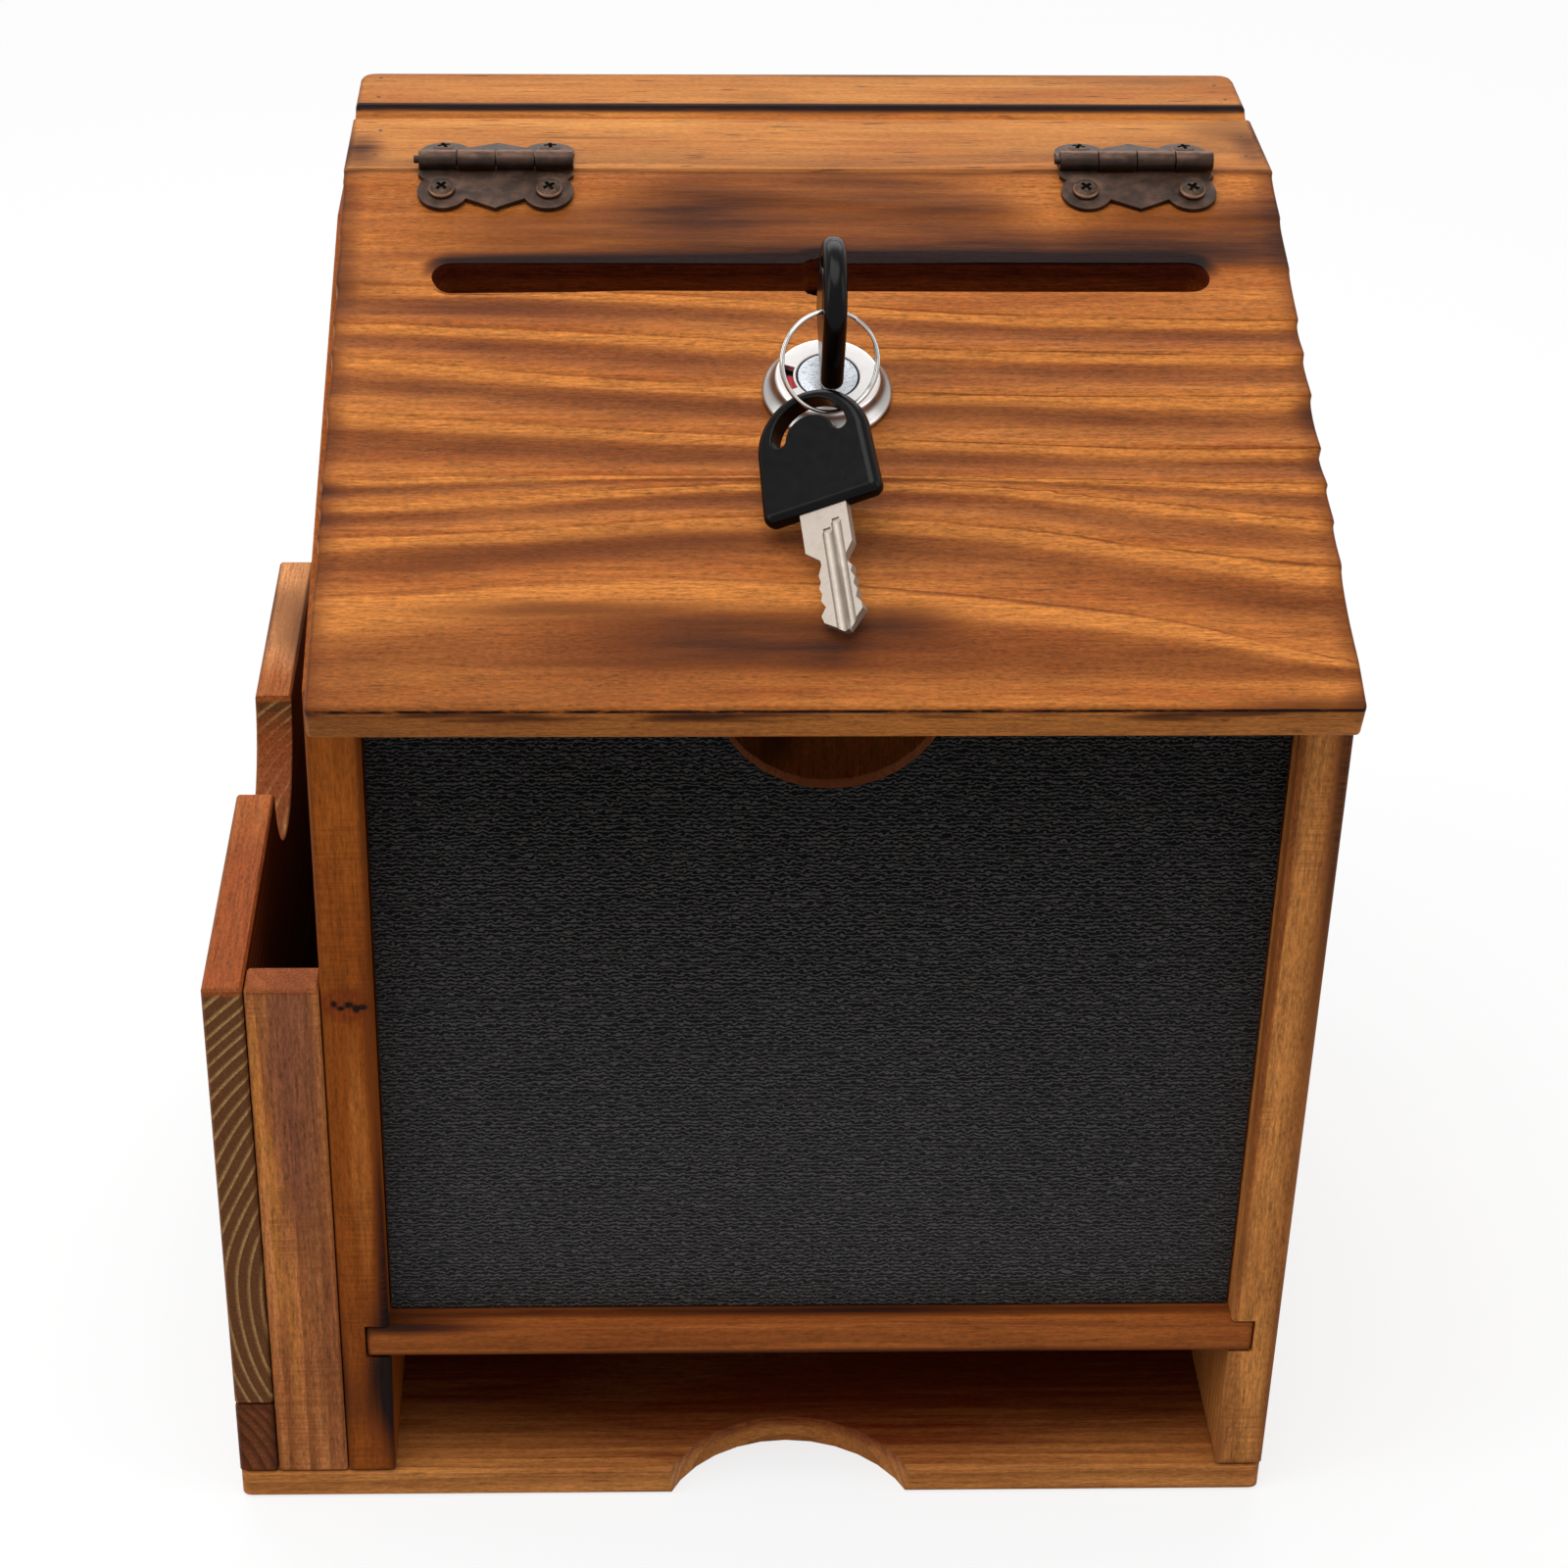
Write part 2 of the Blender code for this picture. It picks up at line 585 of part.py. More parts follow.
def leaf_outline(first_knuckle):
    """A leaf's outline: a comb along the barrel, then horns, two round ears and a middle point.

    x runs along the barrel and y away from it. The leaf holds every second knuckle, from
    first_knuckle on, and is cut back round the others.
    """
    pitch = HINGE_LENGTH / KNUCKLE_COUNT
    cut_back = BARREL_RADIUS + SEAT_GAP
    comb = []
    for knuckle in range(KNUCKLE_COUNT):
        start = knuckle * pitch - HINGE_LENGTH / 2
        own = knuckle % 2 == first_knuckle
        reach = -PLATE_PAST_PIN if own else cut_back
        inset = KNUCKLE_GAP if own else -KNUCKLE_GAP
        left = start if knuckle == 0 else start + inset
        right = start + pitch if knuckle == KNUCKLE_COUNT - 1 else start + pitch - inset
        comb += [(left, reach), (right, reach)]
    start = math.atan2(LEAF_NOTCH_REACH - LEAF_EAR_REACH, LEAF_NOTCH_SIDE - LEAF_EAR_SIDE)
    stop = math.atan2(LEAF_CUSP_REACH - LEAF_EAR_REACH, LEAF_CUSP_SIDE - LEAF_EAR_SIDE)
    ear = arc((LEAF_EAR_SIDE, LEAF_EAR_REACH), LEAF_EAR_RADIUS, start, stop - start,
              SMALL_TURN_STEPS)
    horn = [(HINGE_LENGTH / 2, LEAF_HORN_REACH), (LEAF_NOTCH_SIDE, LEAF_NOTCH_REACH)]
    right = horn + ear + [(LEAF_CUSP_SIDE, LEAF_CUSP_REACH)]
    left = [(-a, b) for a, b in reversed(right)]
    return comb + right + [(0, LEAF_TIP_REACH)] + left


def build_leaf(name, first_knuckle, outward, bronze, parent, matrix):
    """One hinge leaf: its plate, its two rolled knuckles and its two screw holes."""
    low = METAL_GAP - PIN_RISE
    outline = [(a, outward * b) for a, b in leaf_outline(first_knuckle)]
    leaf = add_piece(name, prism(outline, low, low + LEAF_THICKNESS), bronze, parent, matrix)
    pitch = HINGE_LENGTH / KNUCKLE_COUNT
    barrel = circle((0, 0), BARREL_RADIUS, SMALL_TURN_STEPS * 2)
    bore = circle((0, 0), PIN_RADIUS + PIN_FIT, SMALL_TURN_STEPS)
    for knuckle in range(first_knuckle, KNUCKLE_COUNT, 2):
        start = knuckle * pitch - HINGE_LENGTH / 2 + KNUCKLE_GAP / 2
        stop = start + pitch - KNUCKLE_GAP
        join(leaf, f"knuckle_{name}_{knuckle}", prism(barrel, start, stop, ACROSS))
    reach = HINGE_LENGTH / 2 + OVERRUN
    cut(leaf, f"cut_{name}_bore", prism(bore, -reach, reach, ACROSS))
    hole = circle((0, 0), SCREW_SHANK_RADIUS + SCREW_HOLE_FIT, SMALL_TURN_STEPS)
    for hand, side in (("a", -1), ("b", 1)):
        spot = Matrix.Translation((side * SCREW_SIDE, outward * SCREW_REACH, 0))
        through = prism(hole, low - OVERRUN, low + OVERRUN)
        cut(leaf, f"cut_{name}_{hand}", through, spot)


def build_screw(name, bronze, parent, matrix):
    """A round-headed wood screw with a cross recess, its origin under its head."""
    crown = SCREW_HEAD_HEIGHT - SCREW_RIM_HEIGHT
    dome = [
        (SCREW_HEAD_RADIUS * math.cos(a), SCREW_RIM_HEIGHT + crown * math.sin(a))
        for a in (math.pi / 2 * step / CORNER_STEPS for step in range(CORNER_STEPS))
    ]
    profile = [(0, -SCREW_LENGTH), (SCREW_SHANK_RADIUS, SCREW_POINT - SCREW_LENGTH),
               (SCREW_SHANK_RADIUS, 0), (SCREW_HEAD_RADIUS, 0), *dome, (0, SCREW_HEAD_HEIGHT)]
    screw = add_piece(name, turned(profile, SMALL_TURN_STEPS), bronze, parent, matrix, True)
    long, short = CROSS_REACH, CROSS_HALF_WIDTH
    cross = [
        (short, -long), (short, -short), (long, -short), (long, short), (short, short),
        (short, long), (-short, long), (-short, short), (-long, short), (-long, -short),
        (-short, -short), (-short, -long),
    ]
    floor = SCREW_HEAD_HEIGHT - CROSS_DEPTH
    recess = prism(cross, floor, SCREW_HEAD_HEIGHT + OVERRUN)
    cut(screw, f"cut_{name}", recess, Matrix.Rotation(CROSS_TURN, 4, "Z"))


def build_hinge(name, middle, bronze, lid_axis):
    """A butterfly hinge: a leaf on the lid, a leaf on the top board, a pin and four screws."""
    fixed = Matrix.Translation((middle, PIN_Y, PIN_Z))
    swung = Matrix.Translation((middle, 0, 0))
    build_leaf(f"{name}_hinge_leaf_top", 1, 1, bronze, None, fixed)
    build_leaf(f"{name}_hinge_leaf_lid", 0, -1, bronze, lid_axis, swung)
    half = HINGE_LENGTH / 2
    pin = prism(circle((0, 0), PIN_RADIUS, SMALL_TURN_STEPS), -half - PIN_PROUD, half, ACROSS)
    add_piece(f"{name}_hinge_pin", pin, bronze, None, fixed, True)
    rise = METAL_GAP - PIN_RISE + LEAF_THICKNESS + METAL_GAP
    for hand, side in (("a", -1), ("b", 1)):
        across = side * SCREW_SIDE
        top = fixed @ Matrix.Translation((across, SCREW_REACH, rise))
        build_screw(f"{name}_hinge_screw_top_{hand}", bronze, None, top)
        low = swung @ Matrix.Translation((across, -SCREW_REACH, rise))
        build_screw(f"{name}_hinge_screw_lid_{hand}", bronze, lid_axis, low)


def build_lock_body(chrome, axis):
    """The lock's shell: a flared flange, a flat face with a window, and a flatted barrel."""
    channel_top = -FACE_WALL
    channel_bottom = channel_top - CHANNEL_HEIGHT
    profile = [
        (BORE_RADIUS, 0),
        (FACE_RADIUS, 0),
        (FACE_RADIUS + FACE_ROUNDING, -FACE_ROUNDING),
        (FLANGE_NECK_RADIUS, -FLANGE_NECK_DROP),
        ((FLANGE_NECK_RADIUS + FLANGE_RADIUS) / 2, -(FLANGE_NECK_DROP + FLANGE_FOOT_DROP) / 2),
        (FLANGE_RADIUS, -FLANGE_FOOT_DROP),
        (FLANGE_RADIUS, FLANGE_BOTTOM),
        (BARREL_OUTER_RADIUS, FLANGE_BOTTOM),
        (BARREL_OUTER_RADIUS, BARREL_BOTTOM),
        (BORE_RADIUS, BARREL_BOTTOM),
        (BORE_RADIUS, channel_bottom),
        (CHANNEL_RADIUS, channel_bottom),
        (CHANNEL_RADIUS, channel_top),
        (BORE_RADIUS, channel_top),
    ]
    body = add_piece("lock_body", turned(profile, TURN_STEPS, True), chrome, axis, None, True)
    window = arc((0, 0), WINDOW_OUTER, WINDOW_FROM, WINDOW_SWEEP, CORNER_STEPS)
    window += arc((0, 0), WINDOW_INNER, WINDOW_FROM + WINDOW_SWEEP, -WINDOW_SWEEP, CORNER_STEPS)
    cut(body, "cut_window", prism(window, channel_top - CHANNEL_HEIGHT / 2, OVERRUN))
    reach = BARREL_OUTER_RADIUS + OVERRUN
    for name, side in (("left", -1), ("right", 1)):
        low = (min(side * BARREL_FLAT, side * reach), -reach, BARREL_BOTTOM - OVERRUN)
        high = (max(side * BARREL_FLAT, side * reach), reach, FLANGE_BOTTOM)
        cut(body, f"cut_barrel_{name}", block(low, high))


def build_lock_nut(steel, axis):
    """The hexagonal nut that holds the lock to the lid from below."""
    corner = NUT_ACROSS_FLATS / 2 / math.cos(math.pi / 6)
    nut = add_piece(
        "lock_nut", prism(circle((0, 0), corner, 6), NUT_TOP - NUT_THICKNESS, NUT_TOP), steel, axis,
    )
    bore = circle((0, 0), BARREL_OUTER_RADIUS + LOCK_HOLE_FIT, CUT_STEPS)
    low = NUT_TOP - NUT_THICKNESS - OVERRUN
    cut(nut, "cut_nut", prism(bore, low, NUT_TOP + OVERRUN))


def build_plug(steel, axis):
    """The plug that the key turns: a keyway in its face and a square tang below for the cam."""
    disc = circle((0, 0), PLUG_RADIUS, TURN_STEPS)
    plug = add_piece("lock_plug", prism(disc, BARREL_BOTTOM, 0), steel, axis, None, True)
    tang = TANG_HALF_WIDTH
    join(plug, "plug_tang", block((-tang, -tang, TANG_BOTTOM),
                                  (tang, tang, BARREL_BOTTOM + OVERRUN)))
    half_slot = BLADE_THICKNESS / 2 + KEYWAY_FIT
    half_width = BLADE_HALF_WIDTH + KEYWAY_FIT
    floor = KEY_STANDOFF - BLADE_LENGTH - SEAT_GAP
    cut(plug, "cut_keyway", block((-half_slot, -half_width, floor),
                                  (half_slot, half_width, OVERRUN)))
    hole = circle((0, 0), CAM_SCREW_RADIUS + METAL_GAP, SMALL_TURN_STEPS)
    top = TANG_BOTTOM + CAM_SCREW_DEPTH + METAL_GAP
    cut(plug, "cut_tang", prism(hole, TANG_BOTTOM - OVERRUN, top))


def build_indicator(red, axis):
    """The red sector that turns with the plug behind the face's window."""
    inner = PLUG_RADIUS + SEAT_GAP
    outer = CHANNEL_RADIUS - SEAT_GAP
    top = -FACE_WALL - SEAT_GAP
    sector = arc((0, 0), outer, INDICATOR_FROM, INDICATOR_SWEEP, CUT_STEPS // 2)
    sector += arc((0, 0), inner, INDICATOR_FROM + INDICATOR_SWEEP, -INDICATOR_SWEEP,
                  CUT_STEPS // 2)
    low = SEAT_GAP - FACE_WALL - CHANNEL_HEIGHT
    add_piece("lock_indicator", prism(sector, low, top), red, axis)


def build_cam(steel, axis):
    """The cam and the screw that holds it: unlocked, it points along the lid to the right."""
    turn = math.asin(CAM_ARM_HALF_WIDTH / CAM_HUB_RADIUS)
    hub = arc((0, 0), CAM_HUB_RADIUS, turn, math.tau - 2 * turn, CUT_STEPS)
    end = arc((CAM_REACH - CAM_ARM_HALF_WIDTH, 0), CAM_ARM_HALF_WIDTH, -math.pi / 2, math.pi,
              SMALL_TURN_STEPS)
    cam = add_piece("lock_cam", prism(hub + end, CAM_BOTTOM, CAM_TOP), steel, axis)
    half = TANG_HALF_WIDTH + METAL_GAP
    cut(cam, "cut_cam", block((-half, -half, CAM_BOTTOM - OVERRUN),
                              (half, half, CAM_TOP + OVERRUN)))
    head_top = CAM_BOTTOM - METAL_GAP
    head_bottom = head_top - CAM_SCREW_HEAD_HEIGHT
    rounding = CAM_SCREW_HEAD_HEIGHT / 2
    profile = [
        (0, head_bottom),
        (CAM_SCREW_HEAD_RADIUS - rounding, head_bottom),
        (CAM_SCREW_HEAD_RADIUS, head_bottom + rounding),
        (CAM_SCREW_HEAD_RADIUS, head_top),
        (CAM_SCREW_RADIUS, head_top),
        (CAM_SCREW_RADIUS, TANG_BOTTOM + CAM_SCREW_DEPTH),
        (0, TANG_BOTTOM + CAM_SCREW_DEPTH),
    ]
    add_piece("cam_screw", turned(profile, SMALL_TURN_STEPS), steel, axis, None, True)


def head_outline():
    """A key head's outline from its lower edge, which is y = 0, over its arch and back."""
    side = HEAD_HALF_WIDTH - HEAD_CORNER
    right = arc((side, HEAD_CORNER), HEAD_CORNER, -math.pi / 2, math.pi / 2, CORNER_STEPS)
    arch = arc((0, HEAD_ARCH_HEIGHT), HEAD_ARCH_RADIUS, 0, math.pi, CUT_STEPS)
    left = arc((-side, HEAD_CORNER), HEAD_CORNER, math.pi, math.pi / 2, CORNER_STEPS)
    return right + arch + left


def crescent_outline():
    """The arched hole in a key's head: two arcs joined by round ends."""
    outer_rise = math.asin((HOLE_END_HEIGHT - HOLE_OUTER_HEIGHT) / HOLE_OUTER_RADIUS)
    inner_rise = math.asin((HOLE_END_HEIGHT - HOLE_INNER_HEIGHT) / HOLE_INNER_RADIUS)
    outer_side = HOLE_OUTER_RADIUS * math.cos(outer_rise)
    inner_side = HOLE_INNER_RADIUS * math.cos(inner_rise)
    end_side = (outer_side + inner_side) / 2
    end_radius = (outer_side - inner_side) / 2
    steps = CUT_STEPS // 2
    outline = arc((0, HOLE_OUTER_HEIGHT), HOLE_OUTER_RADIUS, outer_rise,
                  math.pi - 2 * outer_rise, CUT_STEPS)[:-1]
    outline += arc((-end_side, HOLE_END_HEIGHT), end_radius, math.pi, math.pi, CORNER_STEPS)[:-1]
    outline += arc((0, HOLE_INNER_HEIGHT), HOLE_INNER_RADIUS, math.pi - inner_rise,
                   2 * inner_rise - math.pi, steps)[:-1]
    outline += arc((end_side, HOLE_END_HEIGHT), end_radius, math.pi, math.pi, CORNER_STEPS)[:-1]
    return outline


def build_key(name, plastic, steel, parent, matrix):
    """A key in its own frame: x across it, y from its tip to its head, z off its face."""
    half = HEAD_THICKNESS / 2
    head = add_piece(f"{name}_head", prism(head_outline(), -half, half), plastic, parent, matrix)
    crescent = prism(crescent_outline(), -half - OVERRUN, half + OVERRUN)
    cut(head, f"cut_{name}_hole", crescent)
    ease(head, HEAD_EASE)
    width = BLADE_HALF_WIDTH + METAL_GAP
    depth = BLADE_THICKNESS / 2 + METAL_GAP
    pocket = block((-width, -OVERRUN, -depth), (width, BLADE_IN_HEAD + METAL_GAP, depth))
    cut(head, f"cut_{name}_pocket", pocket)

    def blade_point(shares):
        return (shares[0] * BLADE_HALF_WIDTH, -shares[1] * BLADE_LENGTH)

    outline = [(BLADE_HALF_WIDTH, BLADE_IN_HEAD), (-BLADE_HALF_WIDTH, BLADE_IN_HEAD)]
    outline += [blade_point(shares) for shares in BLADE_LEFT_SHARES + BLADE_TIP_SHARES]
    outline += [blade_point(shares) for shares in reversed(BLADE_RIGHT_SHARES)]
    thick = BLADE_THICKNESS / 2
    blade = add_piece(f"{name}_blade", prism(outline, -thick, thick), steel, parent, matrix)
    for number, (side_share, start_share) in enumerate(GROOVE_SHARES, 1):
        middle, start = blade_point((side_share, start_share))
        low = (middle - GROOVE_HALF_WIDTH, -BLADE_LENGTH - OVERRUN, thick - BLADE_GROOVE_DEPTH)
        high = (middle + GROOVE_HALF_WIDTH, start, thick + OVERRUN)
        cut(blade, f"cut_{name}_groove_{number}", block(low, high))


def hung(heading, lean, roll):
    """A turn about the lock's axis, then a lean off the lid, then a roll about the long side."""
    turn = Matrix.Rotation(heading, 4, "Z") @ Matrix.Rotation(lean, 4, "X")
    return turn @ Matrix.Rotation(roll, 4, "Y")


def hole_point(out, angle):
    """Where the ring's wire passes a key's hole, in the key's own frame."""
    return Vector((out * math.cos(angle), HOLE_MIDDLE_HEIGHT + out * math.sin(angle), 0))


def ring_point(angle, lift=0.0):
    """A point on the ring's round line, in the ring's own frame."""
    return Vector((RING_RADIUS * math.cos(angle), RING_RADIUS * math.sin(angle), lift))


def ring_path():
    """The split ring's wire: a turn on one side, a short ramp across, and a turn on the other."""
    sweep = 2 * math.tau - RING_RAMP - 2 * WIRE_PITCH / RING_RADIUS
    count = math.ceil(sweep / math.tau * RING_STEPS)
    points = []
    for step in range(count + 1):
        along = sweep * step / count
        ramp = min(1, max(0, (along - (math.tau - RING_RAMP)) / RING_RAMP))
        smooth = ramp * ramp * (3 - 2 * ramp)
        points.append(ring_point(RING_SPLIT + along, WIRE_PITCH * (1 - 2 * smooth) / 2))
    return points


def build_ring(steel, parent, matrix):
    """The split ring, one wire bent through two turns."""
    points = ring_path()
    curve = bpy.data.curves.new("key_ring", "CURVE")
    curve.dimensions = "3D"
    curve.bevel_depth = WIRE_RADIUS
    curve.bevel_resolution = 1
    curve.use_fill_caps = True
    spline = curve.splines.new("POLY")
    spline.points.add(len(points) - 1)
    for spot, point in zip(spline.points, points):
        spot.co = (*point, 1.0)
        spot.radius = 1.0
    curve.materials.append(steel)
    place(bpy.data.objects.new("key_ring", curve), parent, matrix)


def build_keys(plastic, steel, lock_axis):
    """Key 1 in the lock, the ring through its head, and key 2 hanging from the ring."""
    key_1_axis = add_axis("key_1_axis", lock_axis, Matrix())
    key_1 = Matrix.Translation((0, 0, KEY_STANDOFF)) @ KEY_UPRIGHT
    build_key("key_1", plastic, steel, key_1_axis, key_1)
    ring_turn = hung(RING_HEADING, RING_LEAN, RING_ROLL)
    key_2_turn = hung(KEY_2_HEADING, KEY_2_LEAN, KEY_2_ROLL)
    ring_pivot = key_1 @ hole_point(WIRE_OUT_IN_KEY_1, WIRE_IN_KEY_1)
    ring_middle = ring_pivot - ring_turn @ ring_point(RING_AT_KEY_1)
    key_2_pivot = ring_middle + ring_turn @ ring_point(RING_AT_KEY_2)
    key_2_foot = key_2_pivot - key_2_turn @ hole_point(WIRE_OUT_IN_KEY_2, WIRE_IN_KEY_2)
    ring_axis = add_axis("ring_axis", key_1_axis, Matrix.Translation(ring_pivot))
    build_ring(steel, ring_axis, Matrix.Translation(ring_middle - ring_pivot) @ ring_turn)
    tangent = Vector((-math.sin(RING_AT_KEY_2), math.cos(RING_AT_KEY_2), 0))
    along_wire = (ring_turn @ tangent).to_track_quat("X", "Z").to_matrix().to_4x4()
    pivot_frame = Matrix.Translation(key_2_pivot - ring_pivot) @ along_wire
    key_2_axis = add_axis("key_2_axis", ring_axis, pivot_frame)
    key_2 = Matrix.Translation(key_2_foot - ring_pivot) @ key_2_turn
    build_key("key_2", plastic, steel, key_2_axis, pivot_frame.inverted() @ key_2)


def build_box():
    """Build every piece, the still ones first."""
    wood = finish("scorched softwood", (0.42, 0.13, 0.03), 0.55)
    dark_wood = finish("dark scorched softwood", (0.10, 0.035, 0.015), 0.6)
    black = finish("black grained board", (0.012, 0.012, 0.013), 0.5)
    bronze = finish("aged bronze", (0.09, 0.06, 0.045), 0.42, 1.0)
    chrome = finish("satin chrome", (0.62, 0.61, 0.60), 0.22, 1.0)
    steel = finish("nickel steel", (0.48, 0.45, 0.41), 0.3, 1.0)
    plastic = finish("black moulded plastic", (0.013, 0.012, 0.012), 0.38)
    red = finish("red enamel", (0.35, 0.012, 0.016), 0.45)

    build_base(wood)
    build_sides(wood)
    build_back(wood)
    build_shelf(wood)
    build_front_panel(black)
    build_top_board(wood)
    build_pocket(wood, dark_wood)

    pin_line = Matrix.Translation((0, PIN_Y, PIN_Z)) @ Matrix.Rotation(LID_SLOPE, 4, "X")
    lid_axis = add_axis("lid_axis", None, pin_line)
    build_lid(wood, lid_axis)
    build_latch_rail(wood, pin_line)
    build_hinge("left", HINGE_LEFT, bronze, lid_axis)
    build_hinge("right", HINGE_RIGHT, bronze, lid_axis)

    face = Matrix.Translation((LOCK_SIDE, LID_FRONT + LOCK_UP_LID, LID_TOP + FACE_RISE))
    lock_axis = add_axis("lock_axis", lid_axis, face)
    build_lock_body(chrome, lock_axis)
    build_lock_nut(steel, lock_axis)
    build_plug(steel, lock_axis)
    build_indicator(red, lock_axis)
    build_cam(steel, lock_axis)
    build_keys(plastic, steel, lock_axis)


clear_scene()
build_box()
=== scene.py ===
"""Looks of a scorched-wood suggestion box: brushed and torched boards, a grained black front
panel, bronze butterfly hinges, a satin cam lock and two keys on a split ring.

Everything is in metres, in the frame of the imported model: +X to the viewer's right, +Y to the
back and +Z up, with the origin on the underside of the base.
"""

import contextlib
import logging
import math
from dataclasses import dataclass
from enum import Enum
from typing import Callable, Iterator, Sequence

import bmesh
import bpy
import numpy as np
from mathutils import Matrix, Vector, noise


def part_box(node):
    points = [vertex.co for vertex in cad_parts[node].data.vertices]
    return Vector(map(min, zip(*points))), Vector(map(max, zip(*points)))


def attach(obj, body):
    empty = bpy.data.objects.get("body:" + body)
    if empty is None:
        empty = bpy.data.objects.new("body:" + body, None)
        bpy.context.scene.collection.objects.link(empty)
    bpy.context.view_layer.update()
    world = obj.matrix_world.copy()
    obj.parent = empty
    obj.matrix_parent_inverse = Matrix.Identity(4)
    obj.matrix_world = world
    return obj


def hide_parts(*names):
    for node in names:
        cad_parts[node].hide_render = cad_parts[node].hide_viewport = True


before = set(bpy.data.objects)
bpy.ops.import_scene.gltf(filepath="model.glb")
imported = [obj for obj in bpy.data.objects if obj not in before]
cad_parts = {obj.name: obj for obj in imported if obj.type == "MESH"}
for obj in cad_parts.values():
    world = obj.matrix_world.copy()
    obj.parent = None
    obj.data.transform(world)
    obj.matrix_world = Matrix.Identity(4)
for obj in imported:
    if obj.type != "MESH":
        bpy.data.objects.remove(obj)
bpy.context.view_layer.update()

LOG = logging.getLogger("suggestion_box")

Vec3 = tuple[float, float, float]
Pair = tuple[float, float]
Colour = tuple[float, float, float]

Value = "Signal | float"
Tint = "Hue | Colour"
Piece = bpy.types.Object
Material = bpy.types.Material

MM = 0.001
MERGE_DISTANCE = 2e-6
FLAT_ANGLE = math.radians(0.8)
LID_SLOPE = math.radians(20.39)
FRONT_MM = -84.0
LID_FRONT_EDGE = Vector((0.0, -0.09741, 0.19163))
LID_LENGTH_MM = 135.35
LID_HALF_WIDTH_MM = 90.43
LID_THICKNESS_MM = 8.2
LOCK_FACE = Vector((0.001, -0.028593, 0.221697))
PIN_LINE = Vector((0.0, 0.029044, 0.240987))


def srgb(code: str) -> Colour:
    """Turn a display colour, as six hexadecimal digits, into linear light."""
    parts = [int(code[i:i + 2], 16) / 255 for i in (0, 2, 4)]
    return tuple(c / 12.92 if c <= 0.04045 else ((c + 0.055) / 1.055) ** 2.4 for c in parts)


def lid_place() -> Matrix:
    """Return the frame of the lid's top: x across, y up the slope from the front edge, z off it."""
    return Matrix.Translation(LID_FRONT_EDGE) @ Matrix.Rotation(LID_SLOPE, 4, "X")


def lock_place() -> Matrix:
    """Return the frame of the lock's face: x across, y up the slope and z off the lid."""
    return Matrix.Translation(LOCK_FACE) @ Matrix.Rotation(LID_SLOPE, 4, "X")


class Axis(Enum):
    """The way that a board's grain runs."""

    X = 0
    Y = 1
    Z = 2


# Shader maths


class Signal:
    """A number in a shader, which Python's own arithmetic works on."""

    def __init__(self, graph: "Graph", socket: bpy.types.NodeSocket) -> None:
        """Keep the graph that the socket belongs to."""
        self.graph = graph
        self.socket = socket

    def _with(self, operation: str, *values: Value) -> "Signal":
        """Add a Math node that works on this signal and others."""
        return self.graph.math(operation, self, *values)

    def __add__(self, other: Value) -> "Signal":
        """Add."""
        return self._with("ADD", other)

    __radd__ = __add__

    def __sub__(self, other: Value) -> "Signal":
        """Subtract."""
        return self._with("SUBTRACT", other)

    def __rsub__(self, other: float) -> "Signal":
        """Subtract this signal from a number."""
        return self.graph.math("SUBTRACT", other, self)

    def __mul__(self, other: Value) -> "Signal":
        """Multiply."""
        return self._with("MULTIPLY", other)

    __rmul__ = __mul__

    def __truediv__(self, other: Value) -> "Signal":
        """Divide."""
        return self._with("DIVIDE", other)

    def __pow__(self, other: Value) -> "Signal":
        """Raise to a power."""
        return self._with("POWER", other)

    def least(self, other: Value) -> "Signal":
        """Return the smaller of two."""
        return self._with("MINIMUM", other)

    def most(self, other: Value) -> "Signal":
        """Return the larger of two."""
        return self._with("MAXIMUM", other)

    def size(self) -> "Signal":
        """Return the value without its sign."""
        return self._with("ABSOLUTE")

    def part(self) -> "Signal":
        """Return what follows the whole number."""
        return self._with("FRACT")

    def root(self) -> "Signal":
        """Return the square root."""
        return self._with("SQRT")

    def sine(self) -> "Signal":
        """Return the sine."""
        return self._with("SINE")

    def ramp(self, low: float, high: float) -> "Signal":
        """Rise smoothly from 0 at low to 1 at high, or fall where low is the larger.

        Args:
            low: Where the result is 0.
            high: Where the result is 1.

        Returns:
            The eased share of the way from low to high.
        """
        settings = {"interpolation_type": "SMOOTHSTEP"}
        if low < high:
            sockets = {"Value": self, "From Min": low, "From Max": high}
        else:
            sockets = {"Value": self, "From Min": high, "From Max": low,
                       "To Min": 1.0, "To Max": 0.0}
        return Signal(self.graph, self.graph.node("ShaderNodeMapRange", settings, sockets).outputs[0])


@dataclass(frozen=True)
class Hue:
    """A colour in a shader."""

    socket: bpy.types.NodeSocket


